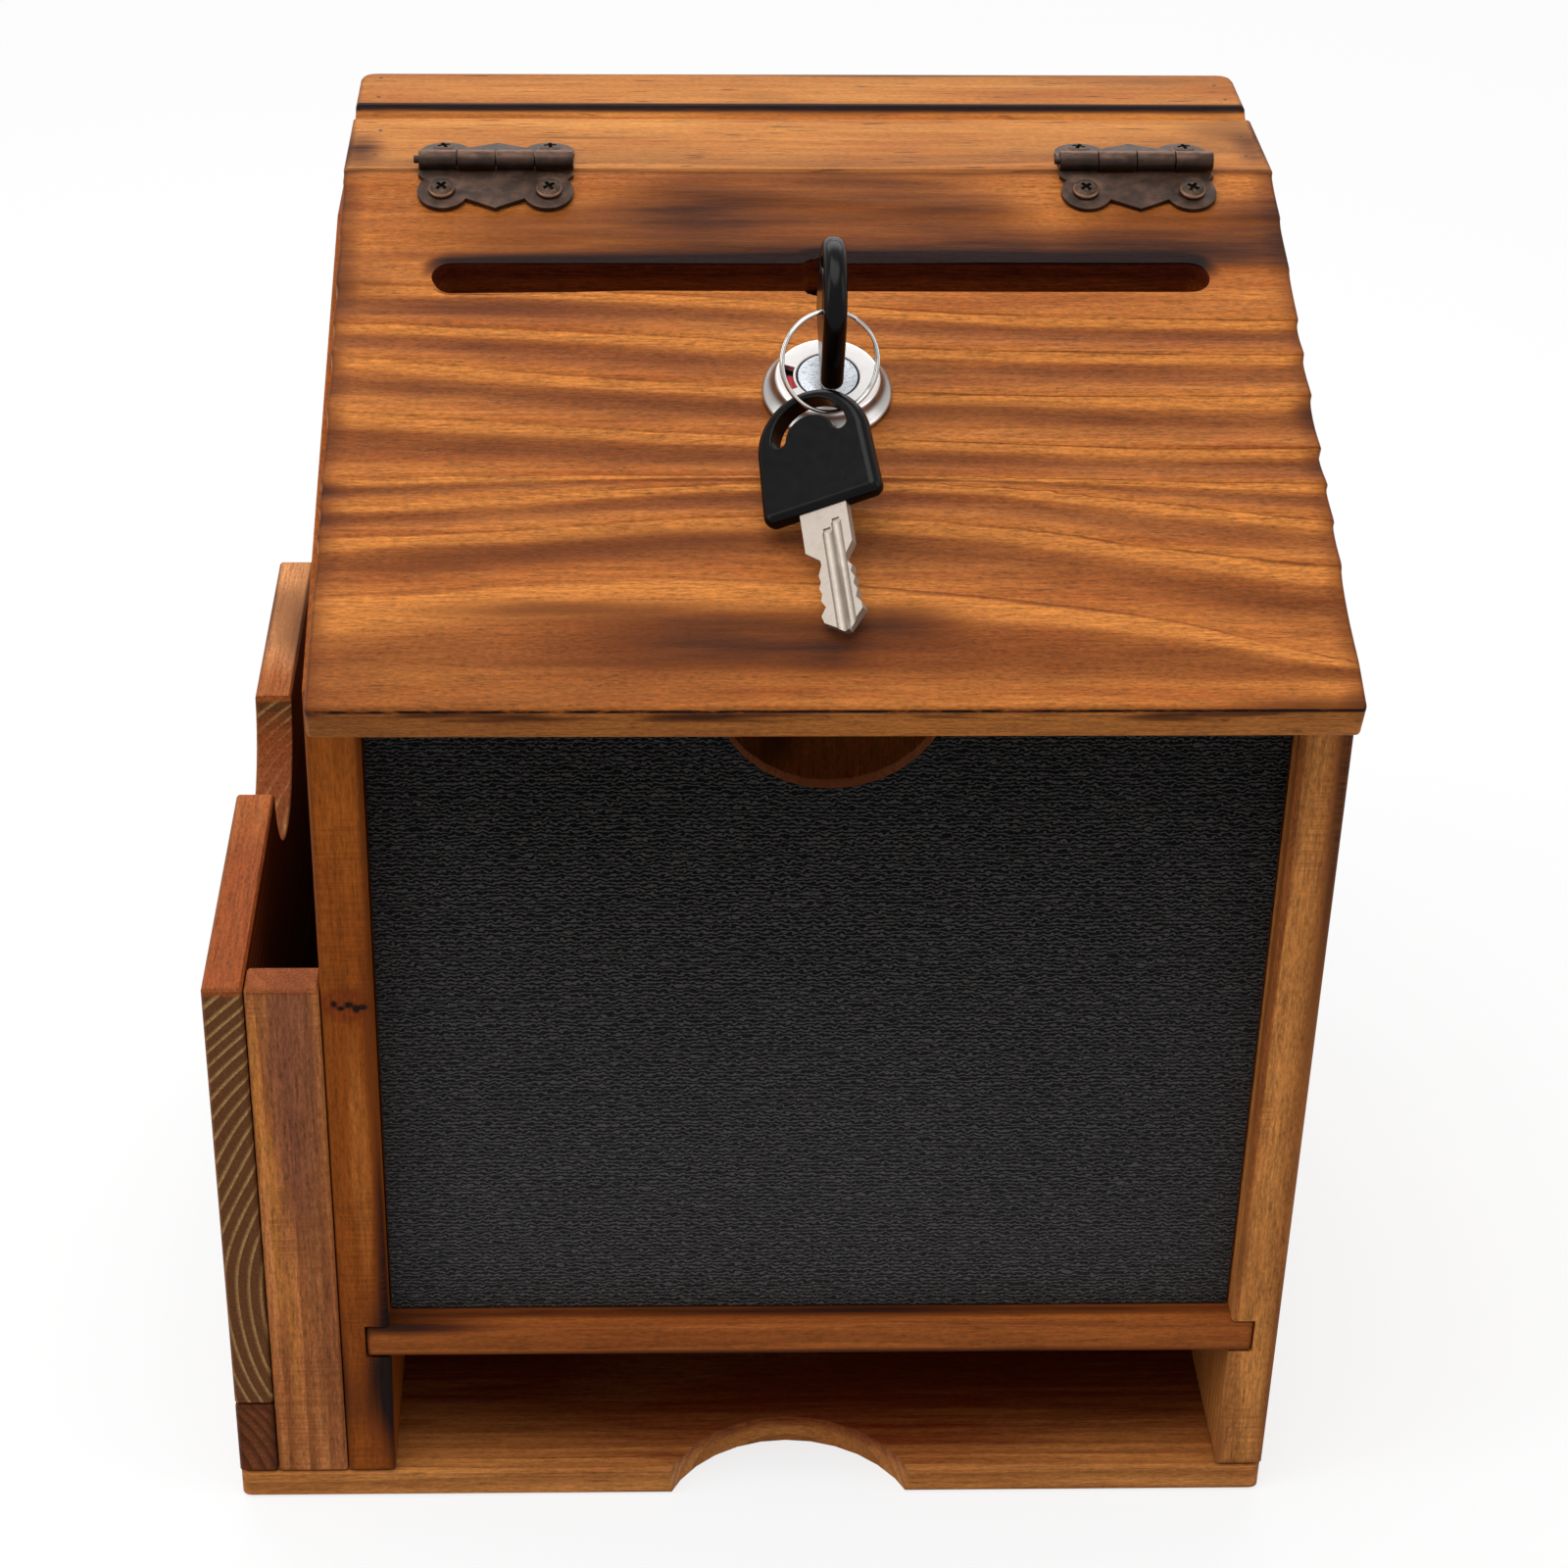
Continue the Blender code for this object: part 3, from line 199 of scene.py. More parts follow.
class Graph:
    """The nodes of one material, or of the world."""

    def __init__(self, owner: Material | bpy.types.World) -> None:
        """Take over the nodes that a new material or world starts with.

        Args:
            owner: The material or world.
        """
        owner.use_nodes = True
        self.owner = owner
        self.tree = owner.node_tree
        self.here: tuple[Signal, ...] = ()

    @classmethod
    def of_material(cls, name: str) -> "Graph":
        """Start a new material, whose patterns follow the place on its object."""
        graph = cls(bpy.data.materials.new(name))
        graph.here = graph.place()
        return graph

    def node(self, kind: str, settings: dict | None = None,
             sockets: dict | None = None) -> bpy.types.Node:
        """Add a node.

        Args:
            kind: The node's type.
            settings: Its own settings, or a list of (place, colour) stops under "stops".
            sockets: Values or links for its inputs, by name or number.

        Returns:
            The new node.
        """
        made = self.tree.nodes.new(kind)
        for key, value in (settings or {}).items():
            if key == "stops":
                elements = made.color_ramp.elements
                while len(elements) < len(value):
                    elements.new(1.0)
                for element, (place, colour) in zip(elements, value):
                    element.position = place
                    element.color = (*colour, 1.0)
            else:
                setattr(made, key, value)
        for key, value in (sockets or {}).items():
            self.put(made.inputs[key], value)
        return made

    def put(self, socket: bpy.types.NodeSocket, value: object) -> None:
        """Join a signal to a socket, or set the socket's own value.

        Args:
            socket: The input.
            value: A signal, a colour, another node's socket or a plain value.
        """
        source = getattr(value, "socket", value)
        if isinstance(source, bpy.types.NodeSocket):
            self.tree.links.new(source, socket)
        elif isinstance(value, tuple) and socket.type == "RGBA":
            socket.default_value = (*value, 1.0)
        else:
            socket.default_value = value

    def math(self, operation: str, *values: Value) -> Signal:
        """Add a Math node with an operation and its inputs in order."""
        made = self.node("ShaderNodeMath", {"operation": operation}, dict(enumerate(values)))
        return Signal(self, made.outputs[0])

    def place(self) -> tuple[Signal, Signal, Signal]:
        """Return the place on the object in millimetres, as three signals.

        Returns:
            The x, y and z.
        """
        source = self.node("ShaderNodeTexCoord").outputs["Object"]
        scaled = self.node("ShaderNodeVectorMath", {"operation": "SCALE"},
                           {0: source, "Scale": 1000.0})
        split = self.node("ShaderNodeSeparateXYZ", None, {0: scaled.outputs[0]})
        return tuple(Signal(self, split.outputs[i]) for i in range(3))

    def attribute(self, name: str) -> Signal:
        """Read a number that the mesh carries."""
        made = self.node("ShaderNodeAttribute", {"attribute_name": name})
        return Signal(self, made.outputs["Fac"])

    def clouds(self, scale: float | Vec3, detail: float = 2.0, rough: float = 0.5,
               at: Sequence[Value] | None = None) -> Signal:
        """Return soft noise, from 0 to 1.

        Args:
            scale: How many clouds there are to a millimetre, or three such numbers.
            detail: How many finer layers are added.
            rough: How strong the finer layers are.
            at: Where the noise is read, if not at the place on the object.

        Returns:
            The noise.
        """
        scales = scale if isinstance(scale, tuple) else (scale,) * 3
        sides = enumerate(p if by == 1.0 else p * by for p, by in zip(at or self.here, scales))
        spot = self.node("ShaderNodeCombineXYZ", None, dict(sides)).outputs[0]
        made = self.node("ShaderNodeTexNoise", {"noise_dimensions": "3D"},
                         {"Vector": spot, "Scale": 1.0, "Detail": detail, "Roughness": rough})
        return Signal(self, made.outputs[0])

    def looked_at(self) -> Signal:
        """Return 1 for what is seen, straight or in metal and glass, and 0 for what lights.

        Returns:
            The signal.
        """
        path = self.node("ShaderNodeLightPath")
        ways = ("Is Camera Ray", "Is Glossy Ray", "Is Transmission Ray")
        straight, mirrored, through = (Signal(self, path.outputs[way]) for way in ways)
        return straight.most(mirrored).most(through)

    def mix(self, share: Value, first: Tint, second: Tint, blend: str = "MIX") -> Hue:
        """Mix a share of the second colour into the first, or blend them in another way."""
        made = self.node("ShaderNodeMix", {"data_type": "RGBA", "blend_type": blend},
                         {0: share, 6: first, 7: second})
        return Hue(made.outputs[2])

    def lay(self, base: Tint, *coats: tuple[Value, Colour]) -> Hue:
        """Lay colours over a base in turn, each by its own share."""
        for share, colour in coats:
            base = self.mix(share, base, colour)
        return base

    def finish(self, colour: Tint, roughness: Value, height: Signal | None,
               depth_mm: float = 0.1, metallic: Value = 0.0,
               specular: float = 0.5) -> Material:
        """Join the results to the shader.

        Args:
            colour: The base colour.
            roughness: The roughness.
            height: The relief, from 0 to 1, or None.
            depth_mm: How deep a relief of 1 is.
            metallic: The metallic value.
            specular: The specular level.

        Returns:
            The finished material.
        """
        shader = self.tree.nodes["Principled BSDF"]
        self.put(shader.inputs["Base Color"], colour)
        self.put(shader.inputs["Roughness"], roughness)
        self.put(shader.inputs["Metallic"], metallic)
        shader.inputs["Specular IOR Level"].default_value = specular
        if height is not None:
            bump = self.node("ShaderNodeBump", None,
                             {"Strength": 1.0, "Distance": depth_mm * MM, "Height": height})
            self.put(shader.inputs["Normal"], bump.outputs[0])
        return self.owner


# Finishes


@dataclass(frozen=True)
class Mark:
    """A burnt spot, or one of a colour of its own, with its middle and reach in millimetres."""

    middle: Vec3
    reach: Vec3
    strength: float = 1.0
    colour: Colour | None = None

    def away(self, place: Sequence[Signal]) -> Signal:
        """Return the square of the distance from the middle, counted in reaches."""
        first, second, third = (((p - middle) / reach) ** 2.0
                                for p, middle, reach in zip(place, self.middle, self.reach))
        return first + second + third


def fronts(*rows: tuple, deep: float = 4.0) -> tuple[Mark, ...]:
    """Make marks on the boards' front edges.

    Args:
        rows: Each mark's x, z, width, height and strength, and its colour's code if it has one.
        deep: How far they reach into the wood.

    Returns:
        The marks.
    """
    return tuple(Mark((x, FRONT_MM, z), (wide, deep, tall), strength, *map(srgb, code))
                 for x, z, wide, tall, strength, *code in rows)


@dataclass(frozen=True)
class WoodTone:
    """The colours of one board, from its pale early wood to its char."""

    pale: Colour
    warm: Colour
    late: Colour
    burnt: Colour
    char: Colour

    @classmethod
    def of(cls, codes: str) -> "WoodTone":
        """Read the five colours from their hexadecimal codes."""
        return cls(*(srgb(code) for code in codes.split()))


@dataclass(frozen=True)
class ScorchedWood:
    """Brushed softwood that a torch has browned, its grain along one of the board's sides."""

    name: str
    along: Axis
    tone: WoodTone
    pith: Pair = (0.0, -60.0)
    pitch: float = 3.2
    wander: float = 3.0
    figure: float = 0.7
    strokes: float = 0.5
    patches: float = 0.35
    patch_size: float = 30.0
    edges: float = 0.5
    edge_width: float = 2.5
    saw: float = 0.0
    marks: tuple[Mark, ...] = ()
    seed: float = 0.0
    relief: float = 0.12
    rough: float = 0.5
    late_wood: Pair = (0.25, 0.93)
    sheen: float = 0.05
    contrast: float = 1.3

    def _noise(self, graph: Graph, lengthways: float, across: float, shift: float = 0.0,
               detail: float = 2.0, rough: float = 0.5) -> Signal:
        """Return noise that follows the grain and differs from board to board.

        Args:
            graph: The material's nodes.
            lengthways: How many clouds there are to a millimetre along the grain.
            across: How many there are across it.
            shift: How far the noise is moved, so that two noises differ.
            detail: How many finer layers are added.
            rough: How strong the finer layers are.

        Returns:
            The noise, from 0 to 1.
        """
        sides = [p * (lengthways if i == self.along.value else across) + self.seed + shift
                 for i, p in enumerate(graph.here)]
        return graph.clouds(1.0, detail, rough, sides)

    def _rings(self, graph: Graph) -> Signal:
        """Return the late wood of each year's ring: a slow rise and a sudden end.

        Args:
            graph: The material's nodes.

        Returns:
            The share of late wood.
        """
        across = [p for i, p in enumerate(graph.here) if i != self.along.value]
        square = 0.0
        for p, pith, lengthways, shift in zip(across, self.pith, (0.006, 0.008), (3.1, 9.7)):
            bend = self._noise(graph, lengthways, 0.02, shift, 1.0) - 0.5
            side = p - pith + bend * (2 * self.wander)
            square = side * side + square
        radius = square.root()
        widths = graph.clouds((0.07, 1.0, 1.0), 0.0, at=(radius, self.seed, 0.0))
        year = (radius / self.pitch + widths * 3.0).part()
        return year.ramp(*self.late_wood) * year.ramp(1.0, 0.95)

    @staticmethod
    def _to_edge(graph: Graph, low: Vector, high: Vector) -> Signal:
        """Return how far a place on the board is from its nearest arris.

        Args:
            graph: The material's nodes.
            low: The board's lowest corner in metres.
            high: The board's highest corner in metres.

        Returns:
            The distance in millimetres.
        """
        first, second, third = ((b - a) / 2 / MM - (p - (a + b) / 2 / MM).size()
                                for p, a, b in zip(graph.here, low, high))
        least, most = first.least(second), first.most(second)
        return least.most(most.least(third))

    def burn(self, graph: Graph, low: Vector, high: Vector) -> Signal:
        """Work out where the torch has browned the board: in patches, at its edges and in marks.

        Args:
            graph: The material's nodes.
            low: The board's lowest corner in metres.
            high: The board's highest corner in metres.

        Returns:
            How far each place is burnt, from 0 to 1 and over.
        """
        size = 1 / self.patch_size
        patch = self._noise(graph, size * 0.45, size, 21.0, 2.0, 0.55)
        streak = self._noise(graph, 0.02, 0.5, 5.0, 3.0, 0.6)
        burnt = patch.ramp(0.52, 0.75) * self.patches * (streak + 0.45)
        ragged = self._to_edge(graph, low, high) + (streak - 0.5) * self.edge_width * 1.2
        burnt = burnt + ragged.ramp(self.edge_width, 0.0) * self.edges * (patch * 1.4)
        for mark in self.marks:
            if mark.colour is None:
                soft = mark.away(graph.here) * -1.2 + (streak - 0.5) * 1.4
                burnt = burnt + graph.math("EXPONENT", soft) * mark.strength
        return burnt

    def dress(self, low: Vector, high: Vector) -> Material:
        """Make the material for a board that fills a box.

        Args:
            low: The board's lowest corner.
            high: The board's highest corner.

        Returns:
            The material.
        """
        graph = Graph.of_material(self.name)
        late = self._rings(graph) * self.figure
        return self.paint(graph, late, self.burn(graph, low, high))

    def paint(self, graph: Graph, late: Signal, burnt: Signal, gold: Value = 0.0,
              stains: Sequence[tuple[Signal, Colour]] = ()) -> Material:
        """Lay the wood's colours, sheen and relief over its rings and its burn.

        Args:
            graph: The material's nodes.
            late: The share of late wood.
            burnt: How far the torch has burnt the place.
            gold: How much paler a place is.
            stains: The share and colour of each stain, in the order they are laid.

        Returns:
            The material.
        """
        tone = self.tone
        fibre = self._noise(graph, 0.12, 1.9, 0.0, 3.0, 0.65)
        speck = self._noise(graph, 0.7, 2.4, 11.0, 2.0, 0.7)
        grain = self._noise(graph, 0.02, 0.45, 2.0, 3.0, 0.6)
        blot = self._noise(graph, 0.015, 0.05, 4.0)
        dashes = self._noise(graph, 0.11, 1.5, 7.0, 1.0)
        warm = blot * 0.9 + grain * 0.9 + fibre * 0.4 - gold - 0.62
        colour = graph.lay(tone.pale, (warm.ramp(0.1, 0.9), tone.warm),
                           ((late * (fibre * 0.8 + 0.6)).least(1.0), tone.late),
                           (dashes.ramp(0.64, 0.76) * self.strokes, tone.burnt))
        for mark in self.marks:
            if mark.colour is not None:
                near = (mark.away(graph.here) + (grain - 0.5) * 1.2).ramp(1.5, 0.5)
                colour = graph.mix(near * mark.strength, colour, mark.colour)
        deep = burnt + ((fibre - 0.5) * 0.7 + (speck - 0.5) * 0.4) * burnt.ramp(0.05, 0.5)
        colour = graph.lay(colour, (deep.ramp(0.02, 0.45) * 0.75, tone.late),
                           (deep.ramp(0.3, 0.8) * 0.9, tone.burnt),
                           (deep.ramp(0.7, 1.15) * 0.95, tone.char), *stains)
        tint = (fibre - 0.5) * self.contrast + (speck - 0.5) * (self.contrast * 0.9) + 1.0
        colour = graph.mix(1.0, colour, Hue(tint.socket), "MULTIPLY")
        rough = burnt.ramp(0.2, 1.2) * 0.18 + (fibre - 0.5) * 0.2 + self.rough
        height = fibre * 0.5 + speck * 0.45 + grain * 0.4 - late * 0.2
        if self.saw:
            ways = tuple(1.7 if i == self.along.value else 0.08 for i in range(3))
            cuts = graph.clouds(ways, 2.0, 0.7)
            sawn = self._noise(graph, 0.025, 0.06, 31.0, 1.0)
            cuts = cuts * (sawn.ramp(0.42, 0.58) * 0.65 + 0.35)
            height = height + cuts * self.saw
            colour = graph.mix(cuts.ramp(0.36, 0.66) * self.saw * 0.5, colour, tone.late)
        return graph.finish(colour, rough, height, self.relief, specular=self.sheen)


@dataclass(frozen=True)
class GrainedBoard:
    """Thin fibreboard with a black grained face and brown cut edges."""

    name: str
    face_y_mm: float
    face_thickness_mm: float = 0.12
    waves_per_mm: float = 1.18
    relief_mm: float = 0.10

    def dress(self) -> Material:
        """Lay the black face's creases with painted highlights on their crests, painted shade that
        darkens the top under the lid and lightens towards the foot, and the brown core.

        Returns:
            The material.
        """
        graph = Graph.of_material(self.name)
        _, y, z = graph.here
        drift = graph.clouds((0.85, 0.5, 0.95))
        waves = ((z * self.waves_per_mm + drift * 2.3) * math.tau).sine()
        breaks = graph.clouds((1.9, 0.5, 3.0), 1.0)
        ridge = (waves * 0.65 + breaks - 0.15).ramp(0.15, 1.0)
        # Painted shade under the lid: darker at the top and lighter towards the foot, with some
        # random spread.
        painted_light_to_foot = z.ramp(185.0, 35.0) + (graph.clouds(0.02) - 0.5) * 0.4
        valley = graph.mix(painted_light_to_foot, srgb("000000"), srgb("242323"))
        # Painted highlight on the creases' crests.
        painted_crest_highlight = graph.mix(painted_light_to_foot, srgb("3F3D3C"), srgb("545252"))
        core = (y - (self.face_y_mm + self.face_thickness_mm)).ramp(0.0, 0.05)
        fluff = graph.clouds((1.5, 6.0, 1.5), 3.0)
        brown = graph.mix(fluff, srgb("8A4A2C"), srgb("C27C50"))
        colour = graph.mix(core, graph.mix(ridge, valley, painted_crest_highlight), brown)
        rough = core * 0.25 - ridge * 0.1 + 0.55
        return graph.finish(colour, rough, ridge, self.relief_mm, specular=0.03)


@dataclass(frozen=True)
class AgedBronze:
    """Antique bronze plating, rubbed golden with a painted highlight along the barrel's top, with
    painted shade on the barrel's lower half, and spotted on the plates.
    """

    name: str = "aged_bronze"
    middle_mm: float = 1.275
    half_spread_mm: float = 62.125
    screw_side_mm: float = 10.35
    screw_out_mm: float = 7.67

    def dress(self) -> Material:
        """Make the material.

        Returns:
            The material.
        """
        graph = Graph.of_material(self.name)
        x, y, z = graph.here
        broad = graph.clouds(0.35, 3.0, 0.6)
        fine = graph.clouds(1.6, 3.0, 0.7)
        streak = graph.clouds((0.5, 6.0, 6.0))
        away = y - PIN_LINE.y / MM
        rise = z - PIN_LINE.z / MM
        out = (away * away + rise * rise).root()
        # Rubbed wear and painted highlight along the barrel's top; the dark coat on the barrel's
        # lower half below is painted shade.
        rub_and_highlight = (rise.ramp(1.1, 1.86) * (streak * 1.3)).ramp(0.3, 1.0)
        colour = graph.lay(srgb("2C1E16"), (broad.ramp(0.35, 0.7), srgb("483226")),
                           (fine.ramp(0.55, 0.8) * 0.5, srgb("5E3C28")),
                           (out.ramp(2.3, 1.6) * rise.ramp(1.5, 0.3) * 0.75, srgb("160F0A")),
                           (rub_and_highlight * 0.5, srgb("8A5A3C")))
        side = ((x - self.middle_mm).size() - self.half_spread_mm).size() - self.screw_side_mm
        dish = (side * side + (out - self.screw_out_mm) ** 2.0).root().ramp(2.9, 4.4)
        rough = fine * 0.22 + rub_and_highlight * -0.08 + 0.36
        return graph.finish(colour, rough, fine * 0.2 + broad * 0.2 + dish, 0.12, metallic=0.7)


@dataclass(frozen=True)
class DarkScrew:
    """A screw of darker bronze, coppery on its rim, with painted shade that makes its cross black."""

    name: str = "dark_screw"

    def dress(self) -> Material:
        """Make the material.

        Returns:
            The material.
        """
        graph = Graph.of_material(self.name)
        fine = graph.clouds(2.2, 3.0, 0.7)
        # Painted shade: the deep attribute turns the cross recess black.
        deep = graph.attribute("deep").ramp(0.02, 0.3)
        colour = graph.lay(srgb("33271F"), (fine.ramp(0.45, 0.8), srgb("6A4B38")),
                           (graph.attribute("worn"), srgb("9A7258")), (deep, srgb("030202")))
        return graph.finish(colour, deep * 0.4 + fine * 0.2 + 0.34, fine, 0.02,
                            metallic=deep * -0.7 + 0.7, specular=0.2)


@dataclass(frozen=True)
class PlatedMetal:
    """Bright metal with a fine brushed or speckled face."""

    name: str
    colour: Colour
    dark: Colour
    rough: float = 0.25
    speckle: float = 0.0
    brushed: float = 0.3
    shaded: Colour | None = None

    def dress(self) -> Material:
        """Make the material.

        Returns:
            The material.
        """
        graph = Graph.of_material(self.name)
        hair = graph.clouds((0.25, 3.0, 3.0))
        spots = graph.clouds(2.8, 2.0, 0.7)
        smear = graph.clouds(0.25)
        worn = spots.ramp(0.5, 0.75) * self.speckle + smear.ramp(0.45, 0.85) * 0.25
        colour = graph.mix(worn, self.colour, self.dark)
        # Painted shade and painted reflection, read from the piece's shade attribute.
        if self.shaded is not None:
            colour = graph.mix(graph.attribute("shade"), colour, self.shaded)
        rough = hair * (self.brushed * 0.3) + spots * (self.speckle * 0.3) + self.rough
        height = hair * self.brushed + spots * self.speckle
        return graph.finish(colour, rough, height, 0.004, metallic=1.0)


@dataclass(frozen=True)
class MouldedPlastic:
    """Smooth black plastic with soft handling marks, and a scuff with a painted highlight on the
    upright key's top.
    """

    name: str = "black_plastic"
    scuff_and_highlight_middle: Vec3 = (1.0, -34.4, 249.6)
    scuff_and_highlight_reach: float = 1.6

    def dress(self) -> Material:
        """Make the material.

        Returns:
            The material.
        """
        graph = Graph.of_material(self.name)
        soft = graph.clouds(0.5)
        fine = graph.clouds(4.0)
        # A scuff and a painted highlight on the upright key's top.
        a, b, c = ((p - m) / self.scuff_and_highlight_reach for p, m in zip(graph.here, self.scuff_and_highlight_middle))
        near = graph.math("EXPONENT", (a * a + b * b + c * c) * -1.0)
        scratch = graph.clouds((1.5, 5.0, 5.0)).ramp(0.55, 0.7)
        scuff_and_highlight = (near * scratch).ramp(0.15, 0.6)
        colour = graph.lay(srgb("040303"), (soft, srgb("0B0909")), (scuff_and_highlight, srgb("7C7C7C")))
        rough = soft * 0.12 + fine * 0.05 + scuff_and_highlight * 0.2 + 0.13
        return graph.finish(colour, rough, fine * 0.5 + soft, 0.012, specular=0.10)


@dataclass(frozen=True)
class PlainPaint:
    """A small painted patch."""

    name: str
    colour: Colour
    rough: float = 0.4

    def dress(self) -> Material:
        """Make the material.

        Returns:
            The material.
        """
        graph = Graph.of_material(self.name)
        soft = graph.clouds(1.5)
        darker = tuple(c * 0.7 for c in self.colour)
        return graph.finish(graph.mix(soft, self.colour, darker), self.rough, soft, 0.01)


# Modelling


def clear() -> None:
    """Leave edit mode and select nothing."""
    if bpy.context.object and bpy.context.object.mode != "OBJECT":
        bpy.ops.object.mode_set(mode="OBJECT")
    bpy.ops.object.select_all(action="DESELECT")


def take(piece: Piece) -> None:
    """Make one piece the active and only selected object."""
    clear()
    bpy.context.view_layer.objects.active = piece
    piece.select_set(True)


def named(name: str) -> Piece:
    """Name the object that an operator has just added."""
    bpy.context.object.name = bpy.context.object.data.name = name
    return bpy.context.object


def added(name: str, data: bpy.types.ID) -> Piece:
    """Add an object that holds a mesh, a curve, a lamp or a camera."""
    piece = bpy.data.objects.new(name, data)
    bpy.context.scene.collection.objects.link(piece)
    return piece


def face_out() -> None:
    """Turn all faces of the piece in edit mode outwards."""
    bpy.ops.mesh.select_all(action="SELECT")
    bpy.ops.mesh.normals_make_consistent(inside=False)


@contextlib.contextmanager
def edit(piece: Piece) -> Iterator[None]:
    """Work on a piece in edit mode, with all of it selected at first.

    Args:
        piece: The piece.

    Yields:
        Nothing.
    """
    take(piece)
    bpy.ops.object.mode_set(mode="EDIT")
    bpy.ops.mesh.select_all(action="SELECT")
    yield
    bpy.ops.object.mode_set(mode="OBJECT")


def pick(piece: Piece, kind: str, test: Callable) -> None:
    """Select the vertices, edges or faces of a piece in edit mode that pass a test.

    Args:
        piece: The piece.
        kind: VERT, EDGE or FACE.
        test: A function of a bmesh element.
    """
    bpy.ops.mesh.select_all(action="DESELECT")
    bpy.ops.mesh.select_mode(type=kind)
    bm = bmesh.from_edit_mesh(piece.data)
    group = {"VERT": bm.verts, "EDGE": bm.edges, "FACE": bm.faces}[kind]
    for element in group:
        element.select_set(bool(test(element)))
    bm.select_flush_mode()
    bmesh.update_edit_mesh(piece.data)


def block(name: str, low: Sequence[float], high: Sequence[float]) -> Piece:
    """Add a cube primitive that fills a box.

    Args:
        name: The object's name.
        low: The lowest corner in millimetres.
        high: The highest corner in millimetres.

    Returns:
        The object, its place in its mesh.
    """
    clear()
    low, high = ([side * MM for side in corner] for corner in (low, high))
    middle = [(a + b) / 2 for a, b in zip(low, high)]
    bpy.ops.mesh.primitive_cube_add(size=1.0, location=middle)
    piece = named(name)
    piece.scale = [b - a for a, b in zip(low, high)]
    bpy.ops.object.transform_apply(location=True, rotation=True, scale=True)
    return piece


def drum(name: str, radius: float, low: float, high: float, sides: int, middle: Pair) -> Piece:
    """Add an upright cylinder primitive, its sizes in millimetres.

    Args:
        name: The object's name.
        radius: Its radius.
        low: Its foot's height.
        high: Its head's height.
        sides: How many sides it has.
        middle: Where its axis stands.

    Returns:
        The object, its place in its mesh.
    """
    clear()
    bpy.ops.mesh.primitive_cylinder_add(
        vertices=sides, radius=radius * MM, depth=(high - low) * MM,
        location=(middle[0] * MM, middle[1] * MM, (low + high) / 2 * MM))
    piece = named(name)
    bpy.ops.object.transform_apply(location=True, rotation=True, scale=True)
    return piece


def prism(name: str, outline: Sequence[Pair], low: float, high: float) -> Piece:
    """Extrude a flat outline from one height to another, in millimetres.

    Args:
        name: The object's name.
        outline: Its (x, y) pairs, the first not repeated.
        low: Its foot's height.
        high: Its head's height.

    Returns:
        The object.
    """
    clear()
    bpy.ops.mesh.primitive_circle_add(vertices=len(outline), radius=1.0, fill_type="NGON")
    piece = named(name)
    for vertex, (x, y) in zip(piece.data.vertices, outline):
        vertex.co = (x * MM, y * MM, low * MM)
    with edit(piece):
        rise = {"value": (0.0, 0.0, (high - low) * MM)}
        bpy.ops.mesh.extrude_region_move(TRANSFORM_OT_translate=rise)
        face_out()
    return piece


def turned(name: str, profile: Sequence[Pair], steps: int, closed: bool = True) -> Piece:
    """Spin a profile round the z axis.

    Args:
        name: The object's name.
        profile: Its (radius, height) pairs in millimetres.
        steps: How many steps a whole turn takes.
        closed: Whether the profile is a ring of its own.

    Returns:
        The object.
    """
    clear()
    bpy.ops.mesh.primitive_circle_add(vertices=len(profile), radius=1.0)
    piece = named(name)
    for vertex, (radius, height) in zip(piece.data.vertices, profile):
        vertex.co = (radius * MM, 0.0, height * MM)
    with edit(piece):
        if not closed:
            last = len(profile) - 1
            pick(piece, "EDGE", lambda e: {v.index for v in e.verts} == {0, last})
            bpy.ops.mesh.delete(type="EDGE_FACE")
            bpy.ops.mesh.select_all(action="SELECT")
        bpy.ops.mesh.spin(steps=steps, angle=math.tau, center=(0, 0, 0), axis=(0, 0, 1))
        bpy.ops.mesh.select_all(action="SELECT")
        bpy.ops.mesh.remove_doubles(threshold=MERGE_DISTANCE / 2)
        face_out()
    return piece


def carve(piece: Piece, cutter: Piece, operation: str = "DIFFERENCE") -> None:
    """Cut one object out of another, or join it on, and remove it."""
    modify(piece, "BOOLEAN", operation=operation, object=cutter, solver="EXACT")
    bpy.data.objects.remove(cutter, do_unlink=True)


def modify(piece: Piece, kind: str, **settings: object) -> None:
    """Add a modifier and apply it.

    Args:
        piece: The piece.
        kind: The modifier's type.
        settings: Its settings.
    """
    modifier = piece.modifiers.new(kind.lower(), kind)
    for key, value in settings.items():
        setattr(modifier, key, value)
    take(piece)
    bpy.ops.object.modifier_apply(modifier=modifier.name)


def bevel(piece: Piece, width: float, segments: int, degrees: float) -> None:
    """Round the edges that turn by more than an angle, over a width in millimetres."""
    modify(piece, "BEVEL", width=width * MM, segments=segments, limit_method="ANGLE",
           angle_limit=math.radians(degrees))


def copy_of(node: str, name: str) -> Piece:
    """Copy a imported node's mesh, with its loose triangles merged into whole faces.

    Args:
        node: The node's name.
        name: The new object's name.

    Returns:
        The new object.
    """
    piece = added(name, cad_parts[node].data.copy())
    piece.data.name = name
    with edit(piece):
        bpy.ops.mesh.remove_doubles(threshold=MERGE_DISTANCE)
        bpy.ops.mesh.dissolve_limited(angle_limit=FLAT_ANGLE)
    return piece


def softened(node: str, name: str, width: float, degrees: float) -> Piece:
    """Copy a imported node's mesh and round its sharp edges.

    Args:
        node: The node's name.
        name: The new object's name.
        width: The rounding in millimetres.
        degrees: The least angle of an edge that is rounded.

    Returns:
        The new object.
    """
    piece = copy_of(node, name)
    bevel(piece, width, 2, degrees)
    smooth(piece, 40.0)
    return piece


